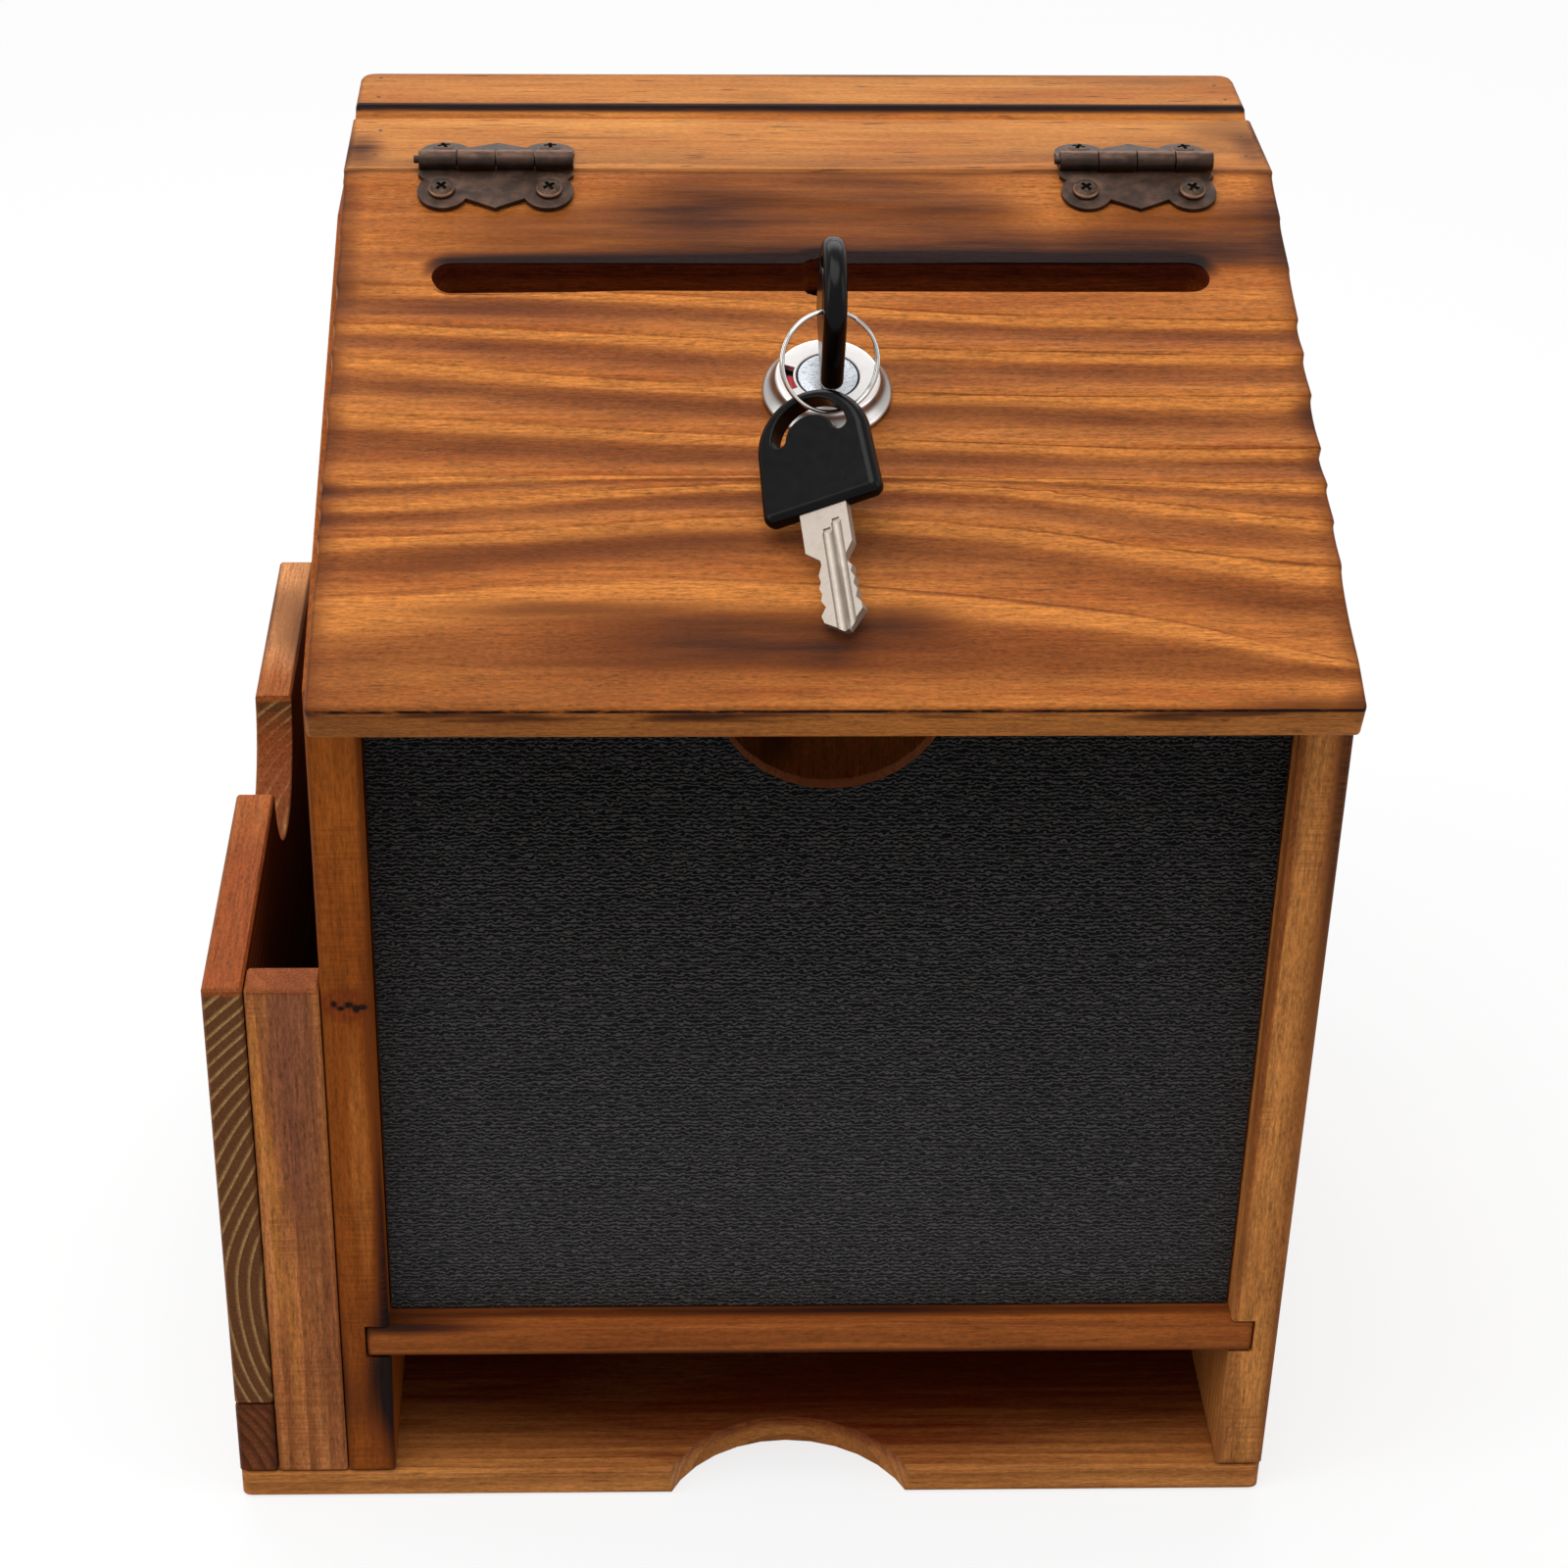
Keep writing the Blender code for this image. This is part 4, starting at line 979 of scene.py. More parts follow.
def smooth(piece: Piece, degrees: float, weighted: bool = False) -> None:
    """Shade a piece smooth apart from its sharp edges.

    Args:
        piece: The piece.
        degrees: The angle from which an edge is sharp.
        weighted: Whether its flat faces stay flat.
    """
    take(piece)
    bpy.ops.object.shade_smooth_by_angle(angle=math.radians(degrees))
    if weighted:
        modify(piece, "WEIGHTED_NORMAL", keep_sharp=True, weight=100)


def arc(middle: Pair, radius: float, start: float, sweep: float, steps: int) -> list[Pair]:
    """Return points along an arc in equal steps, from a start angle through a sweep."""
    angles = [start + sweep * step / steps for step in range(steps + 1)]
    return [(middle[0] + radius * math.cos(a), middle[1] + radius * math.sin(a)) for a in angles]


def coat(piece: Piece, material: Material) -> None:
    """Give a piece one finish all over."""
    piece.data.materials.clear()
    piece.data.materials.append(material)


def hand_in(piece: Piece, material: Material, body: str, slot: str, *nodes: str) -> Piece:
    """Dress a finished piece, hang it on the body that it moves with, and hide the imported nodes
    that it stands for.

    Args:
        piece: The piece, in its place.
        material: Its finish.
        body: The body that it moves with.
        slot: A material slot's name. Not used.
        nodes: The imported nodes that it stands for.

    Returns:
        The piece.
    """
    coat(piece, material)
    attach(piece, body)
    if nodes:
        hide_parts(*nodes)
    LOG.info("%s: %d faces", piece.name, len(piece.data.polygons))
    return piece


def put_number(piece: Piece, name: str, values: np.ndarray) -> None:
    """Store one number for each vertex of a piece."""
    made = piece.data.attributes.new(name, "FLOAT", "POINT")
    made.data.foreach_set("value", values.astype(np.float32))


def vertices_of(piece: Piece) -> np.ndarray:
    """Return a piece's vertices in millimetres, as rows of three numbers."""
    flat = np.zeros(len(piece.data.vertices) * 3)
    piece.data.vertices.foreach_get("co", flat)
    return flat.reshape(-1, 3) / MM


def set_vertices(piece: Piece, places: np.ndarray) -> None:
    """Write a piece's vertices back from millimetres."""
    piece.data.vertices.foreach_set("co", (places * MM).astype(np.float32).ravel())
    piece.data.update()


@dataclass
class Lid:
    """The sloping lid: ridges of hard late wood over brushed valleys, burnt by a torch.

    Places are in millimetres, across from the middle and up the slope from the front edge.
    """

    half_width: float = LID_HALF_WIDTH_MM
    length: float = LID_LENGTH_MM
    thickness: float = LID_THICKNESS_MM
    rounding: float = 0.9
    rear_gap: float = 0.3
    # How far under the face, in from the sides and down the sides the brushing fades out.
    face_band: float = 1.2
    side_band: float = 1.5
    side_depth: float = 6.0
    overrun: float = 3.0
    cells_across: int = 36
    cells_up: int = 150
    slot_middle: Pair = (1.2, 105.5)
    slot_half_length: float = 73.6
    slot_half_width: float = 3.9
    drill_radius: float = 5.25
    lock_middle: Pair = (1.0, 75.0)
    lock_radius: float = 8.3
    stations: tuple[float, ...] = (-92.0, -60.0, -30.0, 0.0, 30.0, 60.0, 92.0)
    ridges: tuple[tuple[float, ...], ...] = (
        (104.0, 103.0, 101.2, 98.3, 95.4, 94.4, 94.0),
        (93.6, 92.1, 90.2, 87.4, 86.1, 85.4, 84.8),
        (85.8, 81.2, 78.2, 75.7, 74.5, 74.1, 74.5),
        (71.0, 67.9, 65.1, 63.7, 62.2, 60.7, 61.2),
        (52.8, 54.4, 54.0, 53.8, 53.5, 52.8, 52.0),
        (46.4, 49.0, 51.9, 53.1, 52.3, 47.7, 42.4),
        (39.3, 40.6, 44.0, 45.0, 42.7, 36.3, 32.0),
        (25.3, 28.3, 30.2, 28.6, 24.9, 20.0, 8.0),
        (-14.0, -12.0, -9.0, -6.0, -2.5, 1.0, 4.8),
    )
    depths: tuple[float, ...] = (0.35, 0.75, 0.85, 0.95, 0.8, 0.55, 0.75, 0.75, 0.0, 0.0)
    # Each burn is its place across and up the slope, its reach each way, and its strength.
    burns: tuple[tuple[float, float, float, float, float], ...] = (
        (14, 124, 50, 10, 0.5), (-22, 125, 15, 8, 0.5), (60, 117, 34, 8, 0.4),
        (8, 111.0, 74, 2.6, 0.8), (30, 114.0, 58, 4.0, 0.35), (-86, 103, 8, 5, 0.3),
        (-52, 118, 30, 8, 0.34), (-84, 128, 8, 8, 0.15), (86, 121, 7, 10, 0.35),
        (46, 121, 9, 9, -0.35), (12, 133, 20, 3, 0.35), (72, 113, 16, 5, 0.2),
        (-60, 97.5, 26, 2.8, 0.6), (-20, 95.5, 26, 2.4, 0.32), (60, 99.5, 20, 1.8, 0.25),
        (-60, 87.0, 13, 2.0, 0.42), (-38, 86.0, 5, 1.6, 0.25), (46, 90.5, 30, 2.0, 0.2),
        (-72, 77.0, 22, 2.2, 0.5), (-40, 74.5, 22, 2.0, 0.32), (32, 81.0, 30, 2.0, 0.25),
        (-60, 62.5, 26, 3.6, 0.45), (-84, 65.5, 10, 3.0, 0.3), (-20, 71.0, 26, 2.8, 0.32),
        (30, 70.5, 24, 3.0, 0.4), (89, 69.5, 4, 3.6, 0.6), (70, 70.0, 20, 2.6, 0.2),
        (-20, 58.5, 22, 3.0, 0.35), (24, 58.8, 20, 3.0, 0.28), (88, 57.0, 4, 2.6, 0.4),
        (-88, 50.4, 5, 2.0, 0.45), (-20, 49.0, 16, 2.2, 0.35), (22, 49.5, 20, 2.2, 0.28),
        (-88, 43.6, 5, 2.0, 0.4), (-58, 36.0, 24, 3.4, 0.42), (-22, 39.0, 24, 3.6, 0.5),
        (22, 38.0, 24, 3.6, 0.36), (-72, 32.0, 14, 2.4, 0.3),
        (-18, 16.0, 26, 6.5, 0.6), (12, 18.5, 12, 4.6, 0.48), (-50, 22.0, 26, 2.8, 0.36),
        (-1, 12.0, 5, 4.0, 0.3), (-46, 10.0, 30, 1.3, 0.25), (4, 9.0, 30, 1.6, 0.22),
        (-10, 13.0, 34, 2.0, 0.2), (80, 0.4, 15, 2.4, 0.5), (-60, 1.0, 20, 0.8, 0.2),
    )

    def ring_at(self, across: np.ndarray, up: np.ndarray) -> np.ndarray:
        """Number the years at places on the lid: whole numbers lie on the ridges.

        Args:
            across: Places across the lid.
            up: Places up the slope.

        Returns:
            The ring number, which grows towards the front edge.
        """
        rows = np.array([
            (np.interp(across, self.stations, line) * 2
             + np.interp(across - 12, self.stations, line)
             + np.interp(across + 12, self.stations, line)) / 4
            for line in self.ridges
        ])
        for k in range(1, len(rows)):
            rows[k] = np.minimum(rows[k], rows[k - 1] - 0.5)
        ring = np.where(up > rows[0], -(up - rows[0]) / 14.0, 0.0)
        for k in range(len(rows) - 1):
            inside = (up <= rows[k]) & (up > rows[k + 1])
            share = (rows[k] - up) / (rows[k] - rows[k + 1])
            ring = np.where(inside, k + share, ring)
        last = len(rows) - 1
        return np.where(up <= rows[last], last + (rows[last] - up) / 20.0, ring)

    def relief_at(self, ring: np.ndarray, across: np.ndarray, up: np.ndarray) -> np.ndarray:
        """Return how far the brush has cut below the crests, in millimetres.

        Args:
            ring: Where the places lie among the rings.
            across: Their places across the lid.
            up: Their places up the slope.

        Returns:
            The depths.
        """
        index = np.clip(np.floor(ring).astype(int), -1, len(self.depths) - 2) + 1
        share = ring - np.floor(ring)
        depth = np.array(self.depths)[index]
        wave = np.where(share < 0.22, 0.45 + 0.55 * np.sin(share / 0.22 * math.pi / 2),
                        np.cos((share - 0.22) / 0.78 * math.pi / 2) ** 1.3)
        step = np.clip(share / 0.03, 0.0, 1.0)
        uneven = np.array([
            0.8 + 0.5 * noise.noise(Vector((x * 0.018, y * 0.05, 3.0)))
            for x, y in zip(across, up)
        ])
        return depth * wave * step * uneven

    def burn_at(self, across: np.ndarray, up: np.ndarray) -> np.ndarray:
        """Return how far the torch has burnt places on the lid.

        Args:
            across: Their places across the lid.
            up: Their places up the slope.

        Returns:
            The burns, from 0 to 1 and over.
        """
        total = np.zeros(len(across))
        for x, y, reach, rise, strength in self.burns:
            total += strength * np.exp(-((across - x) / reach) ** 2 - ((up - y) / rise) ** 2)
        side = self.half_width - np.abs(across)
        total += 0.5 * np.exp(-(side / 1.2) ** 2)
        total += 0.5 * np.exp(-((up - self.length) / 0.9) ** 2)
        return np.maximum(total, 0.0)

    def _cutters(self) -> list[Piece]:
        """Make the slot, its rough drill hole and the lock's hole, as solids to cut out.

        Returns:
            The three solids.
        """
        foot, head = -self.thickness - self.overrun, self.overrun
        x, y = self.slot_middle
        half = self.slot_half_width
        straight = self.slot_half_length - half
        slot = block("slot", (x - straight, y - half, foot), (x + straight, y + half, head))
        for side in (-1, 1):
            end = drum("slot_end", half, foot - 0.5, head + 0.5, 40, (x + side * straight, y))
            carve(slot, end, "UNION")
        drill = drum("drill", self.drill_radius, foot - 1.0, head + 1.0, 88, (x, y))
        places = vertices_of(drill)
        for spot in places:
            angle = math.atan2(spot[1] - y, spot[0] - x)
            torn = noise.noise(Vector((math.cos(angle) * 9, math.sin(angle) * 9, spot[2] * 0.4)))
            spot[:2] = (x, y) + (spot[:2] - (x, y)) * (1 + torn * 0.09)
        set_vertices(drill, places)
        hole = drum("lock_hole", self.lock_radius, foot, head, 48, self.lock_middle)
        return [slot, drill, hole]

    def build(self) -> Piece:
        """Model the lid, dress it and return it.

        Returns:
            The lid in its place.
        """
        piece = self._board()
        width = self.half_width
        places = vertices_of(piece)
        across, up, rise = places.T
        ring = self.ring_at(across, up + rise * 0.25)
        relief = self.relief_at(ring, across, up)
        top = np.clip((rise + self.face_band) / self.face_band, 0.0, 1.0)
        inward = np.clip((np.abs(across) - (width - self.side_band)) / self.side_band, 0.0, 1.0)
        places[:, 2] -= relief * top
        upper = np.clip((rise + self.side_depth) / self.side_depth, 0, 1)
        places[:, 0] -= np.sign(across) * relief * inward * 0.9 * upper
        set_vertices(piece, places)
        put_number(piece, "ring", ring)
        near_side = np.clip((np.abs(across) - (width - 5)) / 5, 0, 1) ** 1.5
        burn = self.burn_at(across, up) + near_side * relief * 0.6
        put_number(piece, "burn", burn * np.clip((rise + 2.0) / 2.0, 0, 1))
        piece.data.transform(lid_place())
        smooth(piece, 32.0)
        return hand_in(piece, self.finish(), "lid", "scorched_wood", "lid_board")

    def _board(self) -> Piece:
        """Saw the board with its round edges, divide its faces and cut its three holes.

        Returns:
            The board.
        """
        width, length, thick = self.half_width, self.length, self.thickness
        piece = block("lid", (-width, 0.0, -thick), (width, length, 0.0))
        with edit(piece):
            pick(piece, "VERT", lambda v: v.co.y > 0.1 and v.co.z < -0.004)
            lean = thick * math.tan(LID_SLOPE) * MM
            bpy.ops.transform.translate(value=(0.0, -lean, 0.0))
            pick(piece, "VERT", lambda v: v.co.y > 0.1)
            gap = self.rear_gap / math.cos(LID_SLOPE) * MM
            bpy.ops.transform.translate(value=(0.0, -gap, 0.0))
            pick(piece, "EDGE", lambda e: min(v.co.y for v in e.verts) < 0.1)
            bpy.ops.mesh.bevel(offset=self.rounding * MM, segments=3, affect="EDGES")
            for way, start, reach, count in (((1, 0, 0), -width, 2 * width, self.cells_across),
                                             ((0, 1, 0), 0.0, length, self.cells_up)):
                for step in range(1, count):
                    bpy.ops.mesh.select_all(action="SELECT")
                    place = [side * (start + reach * step / count) * MM for side in way]
                    bpy.ops.mesh.bisect(plane_co=place, plane_no=way)
        for cutter in self._cutters():
            carve(piece, cutter)
        return piece

    def finish(self) -> Material:
        """Make the lid's finish from the rings and burns that its mesh carries.

        Returns:
            The material.
        """
        wood = ScorchedWood("lid_wood", Axis.X, strokes=0.25, relief=0.16, seed=3.0, rough=0.44,
                            contrast=1.7,
                            tone=WoodTone.of("B87134 8C481D 613012 3C2014 1A1110"))
        graph = Graph.of_material(wood.name)
        x, y, z = graph.here
        slope_sine, slope_cosine = math.sin(LID_SLOPE), math.cos(LID_SLOPE)
        dy = y - LID_FRONT_EDGE.y / MM
        dz = z - LID_FRONT_EDGE.z / MM
        up = dy * slope_cosine + dz * slope_sine
        rise = dz * slope_cosine - dy * slope_sine
        graph.here = (x, up, rise)
        late, gold = self._figure(graph)
        burnt, walls = self._scorch(graph)
        gold = gold + rise.ramp(-1.0, -1.8) * up.ramp(1.6, 0.8) * 0.4
        stains = ((walls * 0.95, srgb("58220E")),
                  (walls * rise.ramp(-3.0, -6.0) * 0.7, srgb("8C4018")))
        return wood.paint(graph, late, burnt, gold, stains)

    def _figure(self, graph: Graph) -> tuple[Signal, Signal]:
        """Return the late wood, a smoky band and a thin line in each year, and its pale crests,
        partly painted highlight.

        Args:
            graph: The lid's nodes, its place across, up the slope and off its top.

        Returns:
            The share of late wood, and how much paler the crests are.
        """
        x, up, _ = graph.here
        ring = graph.attribute("ring")
        jitter = graph.clouds((0.05, 0.35, 1.0)) - 0.5
        year = (ring + jitter * 0.05).part()
        smoke = graph.clouds((0.022, 0.09, 1.0), 3.0, 0.6, (x, up, 5.0))
        band = year.ramp(0.1, 0.42) * year.ramp(0.98, 0.45) * (smoke * 1.5 + 0.1)
        broken = graph.clouds((0.04, 0.1, 1.0), 1.0, at=(x, up, 9.0)).ramp(0.3, 0.5)
        broken = broken * (x.ramp(-50.0, 30.0) * 0.6 + 0.4)
        line = year.ramp(0.035, 0.008) * year.ramp(-0.004, 0.004) * broken
        fine = (ring * 7.0 + jitter * 2.0).part()
        threads = fine.ramp(0.4, 0.95) * fine.ramp(1.0, 0.96)
        ridged = ring.ramp(7.95, 7.7) * ring.ramp(-0.35, -0.1)
        # Paler crests: partly the wood's own colour, partly painted highlight where the raised crests
        # catch the light.
        gold = year.ramp(0.02, 0.07) * year.ramp(0.26, 0.12) * ridged * 0.85
        return band * ridged * 0.8 + threads * 0.08 + line * ridged * 0.7, gold

    def _scorch(self, graph: Graph) -> tuple[Signal, Signal]:
        """Return the torch's burn, with the slot's rim and the front face, and the slot's walls.

        Args:
            graph: The lid's nodes, its place across, up the slope and off its top.

        Returns:
            How far each place is burnt, and 1 on the slot's walls.
        """
        x, up, rise = graph.here
        streak = graph.clouds((0.03, 0.35, 0.6), 3.0, 0.6)
        burnt = graph.attribute("burn") * (streak * 1.2 + 0.4)
        straight = self.slot_half_length - self.slot_half_width
        past = ((x - self.slot_middle[0]).size() - straight).most(0.0)
        level = up - self.slot_middle[1]
        out = (past * past + level * level).root() - self.slot_half_width
        hole = ((x - self.slot_middle[0]) ** 2.0 + level * level).root() - self.drill_radius
        out = out.least(hole)
        walls = out.ramp(0.6, 0.45) * rise.ramp(-0.25, -0.9)
        rim = (out + (streak - 0.5) * 3.0).ramp(3.4, 0.0) * (level * 0.12 + 0.3).ramp(0.0, 1.0)
        burnt = burnt + rim * 0.9
        front = rise.ramp(-1.0, -1.8) * up.ramp(1.6, 0.8)
        lower = graph.clouds((0.03, 0.25, 1.0), at=(x, rise, 2.0))
        burnt = burnt + front * (rise.ramp(-4.6, -2.6) * lower.ramp(0.42, 0.68) * 0.75)
        torn = graph.clouds((0.22, 0.7, 1.0), 3.0, 0.7, (x, rise, 6.0))
        burnt = burnt + front * torn.ramp(0.52, 0.8) * 0.35
        arris = rise.ramp(-1.45, -1.15) * rise.ramp(-0.5, -0.8) * up.ramp(1.4, 0.4)
        return burnt + arris * (torn.ramp(0.3, 0.6) * 1.1 + 0.1), walls


@dataclass
class TopBoard:
    """The fixed board behind the lid, with its charred cove."""

    marks: tuple[Mark, ...] = (
        Mark((0.0, 65.2, 238.4), (240.0, 1.05, 1.9), 1.7),
        Mark((0.0, 60.0, 237.0), (240.0, 3.2, 1.2), 0.7, srgb("A85A22")),
        Mark((-88.0, 40.0, 238.5), (5.0, 9.0, 4.0), 0.7),
        Mark((88.0, 40.0, 238.5), (4.0, 9.0, 4.0), 0.5),
        Mark((20.0, 83.5, 238.0), (30.0, 1.5, 4.0), 0.6),
        Mark((72.0, 80.0, 238.0), (14.0, 3.0, 4.0), 0.35),
        Mark((-45.0, 47.0, 238.7), (22.0, 1.2, 3.0), 0.35),
    )

    def build(self) -> Piece:
        """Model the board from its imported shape, with rounder edges, and dress it.

        Returns:
            The board.
        """
        piece = copy_of("top_board", "top_plank")
        smooth(piece, 28.0)
        wood = ScorchedWood(
            "top_wood", Axis.X, pith=(60.0, 150.0), pitch=4.2, wander=5.0, figure=0.55,
            strokes=0.9, contrast=1.2,
            tone=WoodTone.of("C0803E 975422 70401D 442414 1B1617"),
            patches=0.4, edges=0.55, edge_width=1.4, marks=self.marks, seed=11.0, relief=0.08)
        return hand_in(piece, wood.dress(*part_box("top_board")), "box", "scorched_wood", "top_board")


@dataclass
class Carcass:
    """The box's boards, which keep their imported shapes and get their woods."""

    def woods(self) -> dict[str, ScorchedWood]:
        """Return each board's wood.

        Returns:
            The woods by the names of the boards' nodes.
        """
        red = WoodTone.of("A4581C 864313 602C0E 381A0E 1A1211")
        rust = WoodTone.of("A65E2A 8A481D 643014 3A1C0E 1A1110")
        pale = WoodTone.of("CA8646 AE6A34 834C26 4E2C19 241C1C")
        amber = WoodTone.of("C8804A AC6638 804824 4E2A19 241B1B")
        dull = WoodTone.of("B48A58 967044 613A20 3E2214 201A19")
        top_red = srgb("A2592A")
        # Painted shade on the faces inside the pocket.
        painted_inner_shade = srgb("3A1606")
        return {
            "left_side_board": ScorchedWood(
                "left_side_wood", Axis.Z, pith=(-40, 20), pitch=3.6, figure=0.3, strokes=0.1,
                tone=red, patches=0.3, edges=0.45, edge_width=1.6, saw=0.7, seed=21,
                marks=fronts((-87.2, 121, 4.6, 4, 0.6, "6E2A10"), (-89.6, 121.3, 0.6, 0.8, 1.8),
                             (-88.4, 120.3, 0.7, 0.5, 1.9), (-86.9, 121.1, 0.8, 0.7, 2),
                             (-85.6, 120.2, 0.6, 0.8, 2), (-84.4, 120.6, 0.7, 0.5, 1.9),
                             (-83.5, 34, 3, 16, 0.95), (-83.4, 26, 5.2, 20, 0.4),
                             (-83, 60, 2, 26, 0.55), (-86.4, 84, 1.8, 26, 0.55, "AE672C"),
                             (-84, 110, 1.2, 30, 0.3))
                + (Mark((-92.4, 0, 55), (0.7, 90, 58), 0.8, painted_inner_shade),)),
            "right_side_board": ScorchedWood(
                "right_side_wood", Axis.Z, pith=(40, 30), pitch=2.6, figure=0.45, strokes=0.2,
                tone=pale, patches=0.25, edges=0.4, edge_width=2, saw=0.8, seed=31,
                contrast=1.7,
                marks=fronts((91.9, 178, 2.8, 46, 0.7), (87, 192, 7, 9, 0.4),
                             (90.5, 120, 1.4, 60, 0.3), (82.9, 140, 0.9, 70, 0.7, "7A3A16"))),
            "back_board": ScorchedWood(
                "back_wood", Axis.Z, pith=(0, 130), pitch=3.4, tone=pale, seed=41,
                patches=0.5, edges=0.6,
                # Painted light: the back board's inner face is coloured bright orange to make up for
                # the little light that reaches it.
                marks=(Mark((0, 77.6, 120), (90, 1.4, 120), 0.95, srgb("EE9040")),)),
            "compartment_shelf": ScorchedWood(
                "shelf_wood", Axis.X, pith=(30, 90), pitch=3, figure=0.4, tone=rust,
                patches=0.5, edges=0.5, edge_width=1.2, seed=51,
                marks=fronts((-80, 44, 16, 2.2, 0.7), (0, 37, 90, 1.2, 0.7))
                + (Mark((0, -79.5, 44), (90, 2, 1.5), 0.9),)),
            "base_board": ScorchedWood(
                "base_wood", Axis.X, pith=(20, -70), pitch=3.4, figure=0.5, tone=pale,
                patches=0.4, edges=0.3, edge_width=1.5, seed=61,
                # Painted shade on the base's top inside the tray: a burn and a dark red coat.
                marks=(Mark((0, 60, 6.4), (120, 60, 8), 0.6),
                       Mark((0, 0, 6.4), (150, 82, 4), 0.95, srgb("62200A")))),
            "latch_rail": ScorchedWood("rail_wood", Axis.X, pitch=3, tone=pale, seed=71),
            "pocket_panel": ScorchedWood(
                "pocket_wood", Axis.Y, pith=(-45, 50), pitch=2.3, wander=3.4, figure=0.95,
                strokes=0.3, tone=dull, patches=0.5, edges=0.4, edge_width=1.2, seed=81,
                late_wood=(0.04, 0.36), contrast=1.6,
                marks=(Mark((-110, 0, 124.8), (40, 180, 1.6), 0.88, top_red),
                       Mark((-110, 72, 124.8), (40, 34, 2), 0.85, srgb("C98A58")),
                       Mark((-110, -66, 124.8), (40, 34, 2), 0.7, srgb("8A4420")),
                       Mark((-110, 4, 114), (20, 22, 9), 0.85, srgb("864420")),
                       Mark((-113.8, 0, 75), (0.5, 110, 110), 0.7, srgb("8E5426")),
                       Mark((-106, 0, 80), (0.7, 72, 60), 0.8, painted_inner_shade))),
            "pocket_panel_stave": ScorchedWood(
                "stave_wood", Axis.Y, pith=(-140, 0), pitch=2.2, wander=1, figure=0.7,
                tone=WoodTone.of("84492B 68391C 421F10 2A170E 1A1412"), patches=0.5, edges=0.5,
                seed=91),
            "pocket_front_wall": ScorchedWood(
                "pocket_front_wood", Axis.Z, pith=(-70, -60), pitch=3.4, figure=0.65,
                strokes=0.4, tone=amber, patches=0.4, edges=0.35, edge_width=1.4, saw=0.9,
                seed=101, contrast=1.7,
                marks=fronts((-98, 104, 4.2, 42, 0.78, "7C4A36"),
                             (-95.4, 62, 2.2, 50, 0.6, "84502F"),
                             (-93.6, 34, 1.4, 34, 0.55, "8A4E30"),
                             (-104.9, 98, 0.9, 22, 0.6, "C07C36"),
                             (-103.2, 70, 0.9, 22, 0.6, "C07C36"),
                             (-101.2, 42, 1, 22, 0.5, "B87634"), deep=7)
                + (Mark((-99, -80, 124.6), (14, 9, 1.4), 0.75, srgb("7E3F1E")),)),
            "pocket_back_wall": ScorchedWood(
                "pocket_back_wood", Axis.Z, pith=(-70, 60), pitch=3.6, tone=red, seed=111),
        }

    def dress(self) -> None:
        """Give every board its wood, and the front panel its grained face."""
        for node, wood in self.woods().items():
            coat(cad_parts[node], wood.dress(*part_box(node)))
        face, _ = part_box("front_panel")
        panel = GrainedBoard("black_grained_board", face.y / MM)
        coat(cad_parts["front_panel"], panel.dress())


@dataclass
class WoodScrew:
    """A domed screw with a cross recess, modelled at the origin under its head."""

    head_radius: float = 2.5
    head_height: float = 1.3
    rim_height: float = 0.5
    rim_chamfer: float = 0.12
    shank_radius: float = 1.0
    length: float = 6.4
    tip_length: float = 1.8
    cross_reach: float = 1.5
    cross_half_width: float = 0.42
    cross_depth: float = 0.8
    steps: int = 40

    def build(self, name: str, turn: float) -> Piece:
        """Turn the screw, cut its cross and mark its deep places, for painted shade, and its worn
        places.

        Args:
            name: The object's name.
            turn: How far the cross is turned, in degrees.

        Returns:
            The screw.
        """
        crown = self.head_height - self.rim_height
        dome = [(self.head_radius * math.cos(a), self.rim_height + crown * math.sin(a))
                for a in (math.pi / 2 * step / 9 for step in range(9))]
        profile = [(0.0, -self.length), (self.shank_radius, self.tip_length - self.length),
                   (self.shank_radius, 0.0), (self.head_radius - self.rim_chamfer, 0.0),
                   (self.head_radius, self.rim_chamfer), *dome, (0.0, self.head_height)]
        screw = turned(name, profile, self.steps, False)
        reach, half = self.cross_reach, self.cross_half_width
        floor = self.head_height - self.cross_depth
        for way in (0.0, 90.0):
            slot = block("cross", (-reach, -half, floor), (reach, half, 2.0))
            with edit(slot):
                pick(slot, "VERT", lambda v: v.co.z < 1.0 * MM)
                bpy.ops.transform.resize(value=(0.7, 0.75, 1.0), center_override=(0, 0, floor * MM))
            slot.data.transform(Matrix.Rotation(math.radians(turn + way), 4, "Z"))
            carve(screw, slot)
        places = vertices_of(screw)
        out, height = np.hypot(places[:, 0], places[:, 1]), places[:, 2]
        on_dome = self.rim_height + crown * np.sqrt(np.clip(1 - (out / self.head_radius) ** 2, 0, 1))
        in_cross = (out < reach + 0.05) * (height > 0.2)
        # Deep places in the cross get painted shade.
        put_number(screw, "deep", np.clip((on_dome - height) / 0.3, 0, 1) * in_cross)
        put_number(screw, "worn", np.clip((out - 2.2) / 0.25, 0, 1) * (height > 0.3) * 0.8)
        return screw


